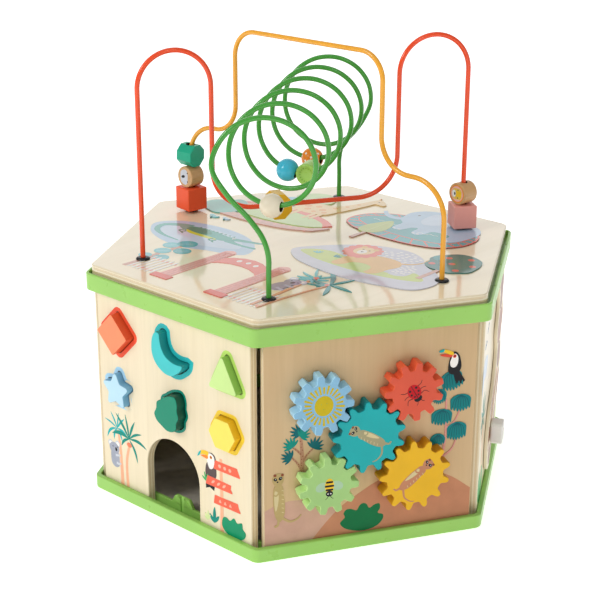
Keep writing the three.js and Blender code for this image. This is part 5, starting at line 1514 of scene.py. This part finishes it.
fc.put(smooth([(72, 150), (78, 164), (91, 168), (91.2, 150), (84, 143)], 40), INK["sky_p"])
fc.put(smooth([(-90, 34), (-80, 40), (-70, 38), (-60, 40), (-52, 30), (-56, 18), (-72, 12), (-88, 18)], 50), INK["leaf"])
palm(fc, -70, 92, (-66, 30), [(150, 22, 4, 1), (115, 24, 4, 0), (80, 22, 4, 0), (35, 24, 4, -1), (-5, 22, 4, -2), (190, 22, 4, 2), (232, 18, 4, 2), (-48, 18, 4, -2)], "peach", "teal", 4.2)
for x, y, r in ((78, 66, 7), (82, 80, 5), (75, 90, 4)):
    fc.put(scallop(x, y, r, r, 6, 0.25, 60), INK["coral"])
    fc.put(circle(x, y, r * 0.35, 24), INK["yellow"])
fc.put(stroke([(78, 59), (77, 46), (79, 34)], 1.6, 2.2), INK["leaf"])
for x, y, t in ((-58, 168, 20), (-32, 176, -10), (-74, 158, 8)):
    fc.put(moved(leaf(-7, 0, 0, 0, 2.4, 2.0), x, y, t), INK["navy"])
    fc.put(moved(leaf(0, 0, 7, 0, 2.4, 2.0), x, y, t), INK["navy"])
fc.done("body")
WHITE_P = paint("paint_white", "ecebe7", 0.38, 0.25)
kb = prism("knob_white", rounded([(TRACK0[0] - 8, TRACK0[1] - 10), (TRACK0[0] + 8, TRACK0[1] - 10), (TRACK0[0] + 8, TRACK0[1] + 10), (TRACK0[0] - 8, TRACK0[1] + 10)], 3.2, 6), 3.9, 15, WHITE_P, MC, bevel=1.5, seg=4)
st = prism("stem_c", circle(*TRACK0, 3.7, 32), -12.5, 6, WHITE_P, MC, bevel=0.4)
boolean(kb, [st], "UNION")
finish_mesh(kb, 35)
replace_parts(kb, "slider_knob_white"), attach(kb, "slider_knob"), kb
fkn = Film("print_knob", MC, 15.0)
fkn.put(circle(TRACK0[0], TRACK0[1], 3.6, 36), INK["brown_l"], [circle(TRACK0[0], TRACK0[1], 2.6, 30)])
fkn.done("slider_knob")
rc = prism("ring_c", circle(*TRACK0, 9, 48), -11.2, -8.4, NAT, MC, holes=[circle(*TRACK0, 4.0, 32)], bevel=0.5)
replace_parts(rc, "slider_retainer_c"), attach(rc, "slider_knob"), rc

# ------------------------------------------------------- side D: spinning discs
WOOD_D = ply("ply_discs", (226, 204, 164), (240, 223, 188), -8, 0, 5, 0.34, 0.3)
DISCS = {"blue": ((29, 159.5), 29, "b9d6e6", "7fb0cc"), "green": ((29, 79), 29, "58b48c", "2f8a68"), "coral": ((-40, 119), 28, "f08a6c", "d8603f")}
pd_ = prism("board_discs", PLATE, -8, 0, WOOD_D, MD, holes=[circle(*c[0], 4.35, 32) for c in DISCS.values()], bevel=0.6)
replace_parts(pd_, "panel_discs"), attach(pd_, "body"), pd_
fd = Film("print_discs", MD, 0.0)
PH = [circle(*c[0], 4.6, 32) for c in DISCS.values()]
fd.put([(-91.4, 3.7), (91.4, 3.7), (91.4, 30), (64, 26), (34, 22), (4, 27), (-26, 40), (-58, 45), (-91.4, 36)], INK["lime_p"])
fd.put([(-91.4, 3.7), (36, 3.7), (14, 14), (-16, 24), (-50, 28), (-91.4, 20)], INK["leaf"])
fd.put(circle(-40, 119, 34, 72), INK["sky_p"], [PH[2]])
fd.put(circle(29, 79, 34.5, 72), INK["cream"], [PH[1]])
fd.put(circle(29, 159.5, 31, 64), INK["peach"], [PH[0]])
for nm, (c, r, face, side) in DISCS.items():
    for i in range(24):
        a = 2 * math.pi * i / 24
        rr = r + (3.0 if nm != "blue" else 1.2)
        fd.put(circle(c[0] + rr * math.cos(a), c[1] + rr * math.sin(a), 0.85, 12), INK["coral" if nm == "coral" else "teal" if nm == "green" else "navy"], level=9)
fd.put(stroke([(-60, 30), (-62, 50), (-58, 70)], 4.4, 3.0), INK["trunk"])
fd.put(smooth([(-78, 66), (-70, 78), (-54, 76), (-46, 64), (-52, 54), (-66, 50), (-78, 56)], 50), INK["green"])
for x, y in ((-70, 62), (-60, 70), (-56, 58), (-66, 57)):
    fd.put(circle(x, y, 2.0, 20), INK["coral"])
sprig(fd, -8, 34, [(90, 22, 4), (125, 18, 4), (55, 18, 4), (155, 14, 3.6), (25, 14, 3.6)], "teal")
sprig(fd, 84, 30, [(95, 24, 4), (125, 18, 4), (65, 12, 3.6)], "leaf")
fd.put(smooth([(-84, 168), (-72, 178), (-54, 176), (-44, 166), (-60, 160), (-76, 160)], 44), INK["sky"])
fd.put(smooth([(64, 128), (71, 135), (82, 134), (88, 127), (78, 122), (68, 123)], 44), INK["sky"])
fd.done("body")
for nm, (c, r, face, side) in DISCS.items():
    mf, ms = paint("disc_face_" + nm, face, 0.38, 0.25), paint("disc_side_" + nm, side, 0.42, 0.2)
    V, F, mi = prism_data(circle(*c, r, 84), 1.0, 8.5, [circle(*c, 4.35, 32)], 1.0, 4)
    ob = make("wheel_" + nm, V, F, [mf, ms], MD, None, 35)
    ob.data.polygons.foreach_set("material_index", [0 if abs(p.normal.z) > 0.75 else 1 for p in ob.data.polygons])
    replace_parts(ob, "disc_" + nm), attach(ob, "disc_" + nm), ob
    f = Film("print_wheel_" + nm, MD, 8.5)
    x, y = c
    hub = [circle(x, y, 8.2, 36)]
    if nm == "blue":
        for i in range(8):
            a = 45 * i
            f.put(moved(leaf(9.2, 0, 26, 0, 8.2), x, y, a), INK["navy" if i % 2 else "turq"])
        f.put(circle(x, y, 9.4, 40), INK["cream"], hub)
    elif nm == "green":
        f.put(circle(x, y, 26.8, 72), INK["lime_p"], [circle(x, y, 25.2, 72)])
        for i in range(6):
            a = 60 * i
            f.put(moved(ellipse(18.2, 0, 5.6, 5.2), x, y, a), INK[("yellow", "coral", "cream")[i % 3]])
            f.put(moved(ellipse(18.2, 0, 2.2, 2.0), x, y, a), INK[("coral", "cream", "orange")[i % 3]])
            f.put(moved(leaf(11, 7.6, 20, 11.6, 3.4), x, y, a), INK["teal_d"])
        f.put(circle(x, y, 9.8, 40), INK["green_d"], hub)
    else:
        for i in range(10):
            a = rad(36 * i)
            b = rad(36 * (i + 0.5))
            f.put([(x + 11 * math.cos(a), y + 11 * math.sin(a)), (x + 24.8 * math.cos(a), y + 24.8 * math.sin(a)), (x + 25.2 * math.cos((a + b) / 2), y + 25.2 * math.sin((a + b) / 2)),
                   (x + 24.8 * math.cos(b), y + 24.8 * math.sin(b)), (x + 11 * math.cos(b), y + 11 * math.sin(b))], INK["yellow" if i % 2 else "cream"])
        f.put(circle(x, y, 10.4, 40), INK["terra"], hub)
    f.done("disc_" + nm)
    pv = lathe("peg_" + nm, [(0, -10.5), (3.7, -10.5), (4.0, -10.2), (4.0, 8.9), (7.1, 8.9), (7.5, 9.2), (7.5, 10.2), (7.2, 10.8), (6.4, 11.35), (5.2, 11.6), (0, 11.6)], NAT, MD @ Matrix.Translation((x * S, y * S, 0)))
    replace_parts(pv, "pivot_" + nm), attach(pv, "body"), pv

# ------------------------------------------------------- side E: road with a car
WOOD_E = ply("ply_road", (226, 204, 164), (240, 223, 188), -8, 0, 5, 0.34, 0.3)
ROAD0, ROAD1 = (-52, 96), (52, 96)
groove = slot_outline(ROAD0, ROAD1, 4.4)
pe = prism("board_road", PLATE, -8, 0, WOOD_E, ME, holes=[groove], bevel=0.6)
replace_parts(pe, "panel_road"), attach(pe, "body"), pe
fe = Film("print_road", ME, 0.0)
fe.put(smooth([(-90, 116), (-76, 138), (-52, 146), (-28, 134), (-10, 118), (10, 132), (34, 152), (60, 148), (80, 128), (91, 116), (60, 108), (0, 106), (-60, 108)], 90), INK["lime_p"])
fe.put(smooth([(-20, 110), (4, 124), (26, 136), (52, 130), (74, 112), (40, 107), (0, 107)], 70), INK["leaf"])
fe.put(rounded([(-91.4, 78), (91.4, 78), (91.4, 114), (-91.4, 114)], 0.5, 2), INK["road"], [grow(groove, 0.2)])
for i in range(13):
    x = -84 + i * 14
    for yy in (81.6, 110.4):
        fe.put(box2(x - 3.6, yy - 0.9, x + 3.6, yy + 0.9, 0.4), INK["white"], level=6)
fe.put(grow(groove, 1.8), INK["white"], [grow(groove, 0.2)])
fe.put([(-91.4, 3.7), (91.4, 3.7), (91.4, 76), (-91.4, 76)], INK["sand"])
fe.put([(-91.4, 3.7), (91.4, 3.7), (91.4, 30), (52, 38), (10, 30), (-30, 22), (-60, 30), (-91.4, 24)], INK["lime"])
fe.put(circle(-62, 168, 13, 56), INK["yellow"])
for i in range(14):
    a = 2 * math.pi * i / 14
    fe.put(stroke([(-62 + 15.6 * math.cos(a), 168 + 15.6 * math.sin(a)), (-62 + 20.4 * math.cos(a), 168 + 20.4 * math.sin(a))], 2.0, 1.2, curved=False), INK["mustard"], level=10)
for x, y, s_ in ((12, 174, 1.0), (62, 170, 0.8)):
    fe.put(moved(smooth([(-20, -4), (-16, 4), (-6, 6), (2, 10), (12, 6), (20, 2), (20, -5), (0, -6)], 50), x, y, 0, s_), INK["sky"])
for x, h, c in ((-76, 22, "teal"), (-62, 16, "green"), (72, 20, "teal"), (84, 14, "green")):
    fe.put(stroke([(x, 114), (x, 114 + h * 0.5)], 2.2, 1.8, curved=False), INK["trunk"])
    fe.put(leaf(x, 114 + h * 0.3, x, 114 + h * 1.6, h * 0.6), INK[c])
for x, c in ((-60, "coral"), (-10, "turq"), (44, "orange")):
    fe.put(rounded([(x - 12, 34), (x + 12, 34), (x + 12, 54), (x - 12, 54)], 0.8, 2), INK["cream"])
    fe.put(rounded([(x - 15, 53), (x + 15, 53), (x, 68)], 1.0, 3), INK[c])
    fe.put(rounded([(x - 3.4, 34.2), (x + 3.4, 34.2), (x + 3.4, 45), (x - 3.4, 45)], [0, 0, 3, 3], 4), INK[c])
    for wx in (-7.6, 7.6):
        fe.put(box2(x + wx - 2.2, 46, x + wx + 2.2, 50.4, 0.5), INK["sky"])
sprig(fe, 78, 26, [(90, 20, 4), (120, 16, 4), (60, 16, 4)], "teal")
sprig(fe, 18, 24, [(90, 14, 3), (125, 12, 3), (55, 12, 3)], "green")
fe.done("body")
RED_P = paint("paint_car", "e0543a", 0.36, 0.3)
x, y = ROAD0
car = prism("toy_car", rounded([(x - 17, y - 9), (x + 17, y - 9), (x + 17, y + 1), (x + 10, y + 3), (x + 5, y + 12), (x - 9, y + 12), (x - 12, y + 3), (x - 17, y + 1)], 2, 4), 0.8, 12.5, RED_P, ME, bevel=1.2, seg=4)
st = prism("stem_e", circle(x, y, 3.7, 32), -12.5, 2, RED_P, ME, bevel=0.4)
boolean(car, [st], "UNION")
finish_mesh(car, 35)
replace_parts(car, "slider_car_red"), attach(car, "slider_car"), car
fcar = Film("print_car", ME, 12.5)
fcar.put(rounded([(x - 7.8, y + 3.6), (x - 2.8, y + 3.6), (x - 2.8, y + 10), (x - 6.8, y + 10)], 0.8, 3), INK["sky"])
fcar.put(rounded([(x - 1.2, y + 3.6), (x + 5.6, y + 3.6), (x + 3.0, y + 10), (x - 1.2, y + 10)], 0.8, 3), INK["sky"])
for dx in (-9.5, 9.5):
    fcar.put(circle(x + dx, y - 3.6, 3.9, 32), INK["black"])
    fcar.put(circle(x + dx, y - 3.6, 1.8, 24), INK["cream"])
fcar.put(circle(x + 14.2, y - 1.4, 1.2, 18), INK["yellow"])
fcar.done("slider_car")
re_ = prism("ring_e", circle(x, y, 9, 48), -11.2, -8.4, NAT, ME, holes=[circle(x, y, 4.0, 32)], bevel=0.5)
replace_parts(re_, "slider_retainer_e"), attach(re_, "slider_car"), re_

# ------------------------------------------------------- side F: clock
WOOD_F = ply("ply_clock", (226, 204, 164), (240, 223, 188), -8, 0, 5, 0.34, 0.3)
CX, CZ = 0, 108
pf = prism("board_clock", PLATE, -8, 0, WOOD_F, MF, holes=[circle(CX, CZ, 4.35, 32)], bevel=0.6)
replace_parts(pf, "panel_clock"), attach(pf, "body"), pf
ff = Film("print_clock", MF, 0.0)
ch = [circle(CX, CZ, 4.6, 32)]
ff.put([(-91.4, 3.7), (91.4, 3.7), (91.4, 26), (50, 34), (10, 26), (-40, 30), (-91.4, 22)], INK["leaf"])
ff.put(circle(CX, CZ, 76, 120), INK["peach"], ch)
ff.put(circle(CX, CZ, 70, 120), INK["cream"], ch)
ff.put(circle(CX, CZ, 44, 96), INK["sky_p"], ch)
ff.put(circle(CX, CZ, 30, 96), INK["cream"], ch)
for i in range(60):
    a = rad(6 * i)
    if i % 5:
        ff.put(circle(CX + 73 * math.sin(a), CZ + 73 * math.cos(a), 0.8, 12), INK["coral_d"], level=9)
dots = ("coral", "orange", "yellow", "lime", "leaf", "teal", "turq", "sky", "navy", "lilac", "rose", "terra")
for i in range(12):
    a = rad(30 * (i + 1))
    ff.put(circle(CX + 57.5 * math.sin(a), CZ + 57.5 * math.cos(a), 10.2, 44), INK[dots[i]], level=9)
    ff.put(circle(CX + 37 * math.sin(a), CZ + 37 * math.cos(a), 1.5, 20), INK["navy"], level=9)
for i in range(12):
    a = rad(30 * (i + 1))
    cu = bpy.data.curves.new("numeral", "FONT")
    cu.body = str(i + 1)
    cu.size = 12.5 * S
    cu.align_x, cu.align_y = "CENTER", "CENTER"
    cu.extrude = 0.02 * S
    cu.offset = 0.22 * S
    cu.resolution_u = 5
    tmp = bpy.data.objects.new("numeral", cu)
    scene.collection.objects.link(tmp)
    dg = bpy.context.evaluated_depsgraph_get()
    me = bpy.data.meshes.new_from_object(tmp.evaluated_get(dg))
    bpy.data.objects.remove(tmp)
    xs = [v.co.x for v in me.vertices]
    ys = [v.co.y for v in me.vertices]
    for v in me.vertices:
        v.co = ((v.co.x - (min(xs) + max(xs)) / 2) + (CX + 57.5 * math.sin(a)) * S, (v.co.y - (min(ys) + max(ys)) / 2) + (CZ + 57.5 * math.cos(a)) * S, (0.105 if v.co.z > 0 else 0.01) * S)
    me.materials.clear()
    me.materials.append(INK["white"] if i not in (2, 3, 7) else INK["navy"])
    ob = bpy.data.objects.new("numeral_%d" % (i + 1), me)
    scene.collection.objects.link(ob)
    ob.matrix_world = MF
    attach(ob, "body")
ff.done("body")
for nm, L, w_, ang, z0, z1, hexc, slot_ in (("hour", 36, 2.8, 60, 0.8, 3.2, "2b8f8d", "teal_hand"), ("minute", 52, 2.4, -60, 3.6, 6.0, "e0543a", "red_hand")):
    pts = [(8.4 * math.cos(rad(118 + 304 * i / 36)), 8.4 * math.sin(rad(118 + 304 * i / 36))) for i in range(37)]
    pts += [(w_, 9.5), (0.8 * w_, L - 14), (2.1 * w_, L - 14), (0, L), (-2.1 * w_, L - 14), (-0.8 * w_, L - 14), (-w_, 9.5)]
    pts = moved(pts, CX, CZ, ang)
    ob = prism("hand_" + nm, pts, z0, z1, paint("paint_hand_" + nm, hexc, 0.36, 0.3), MF, holes=[circle(CX, CZ, 4.35, 32)], bevel=0.45, seg=3)
    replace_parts(ob, "clock_hand_" + nm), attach(ob, "clock_" + nm), ob
pn = lathe("pin_clock", [(0, -10.5), (3.7, -10.5), (4.0, -10.2), (4.0, 6.4), (6.8, 6.4), (7.2, 6.7), (7.2, 7.7), (6.8, 8.3), (5.8, 8.85), (4.6, 9.0), (0, 9.0)], NAT, MF @ Matrix.Translation((CX * S, CZ * S, 0)))
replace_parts(pn, "clock_pin"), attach(pn, "body"), pn
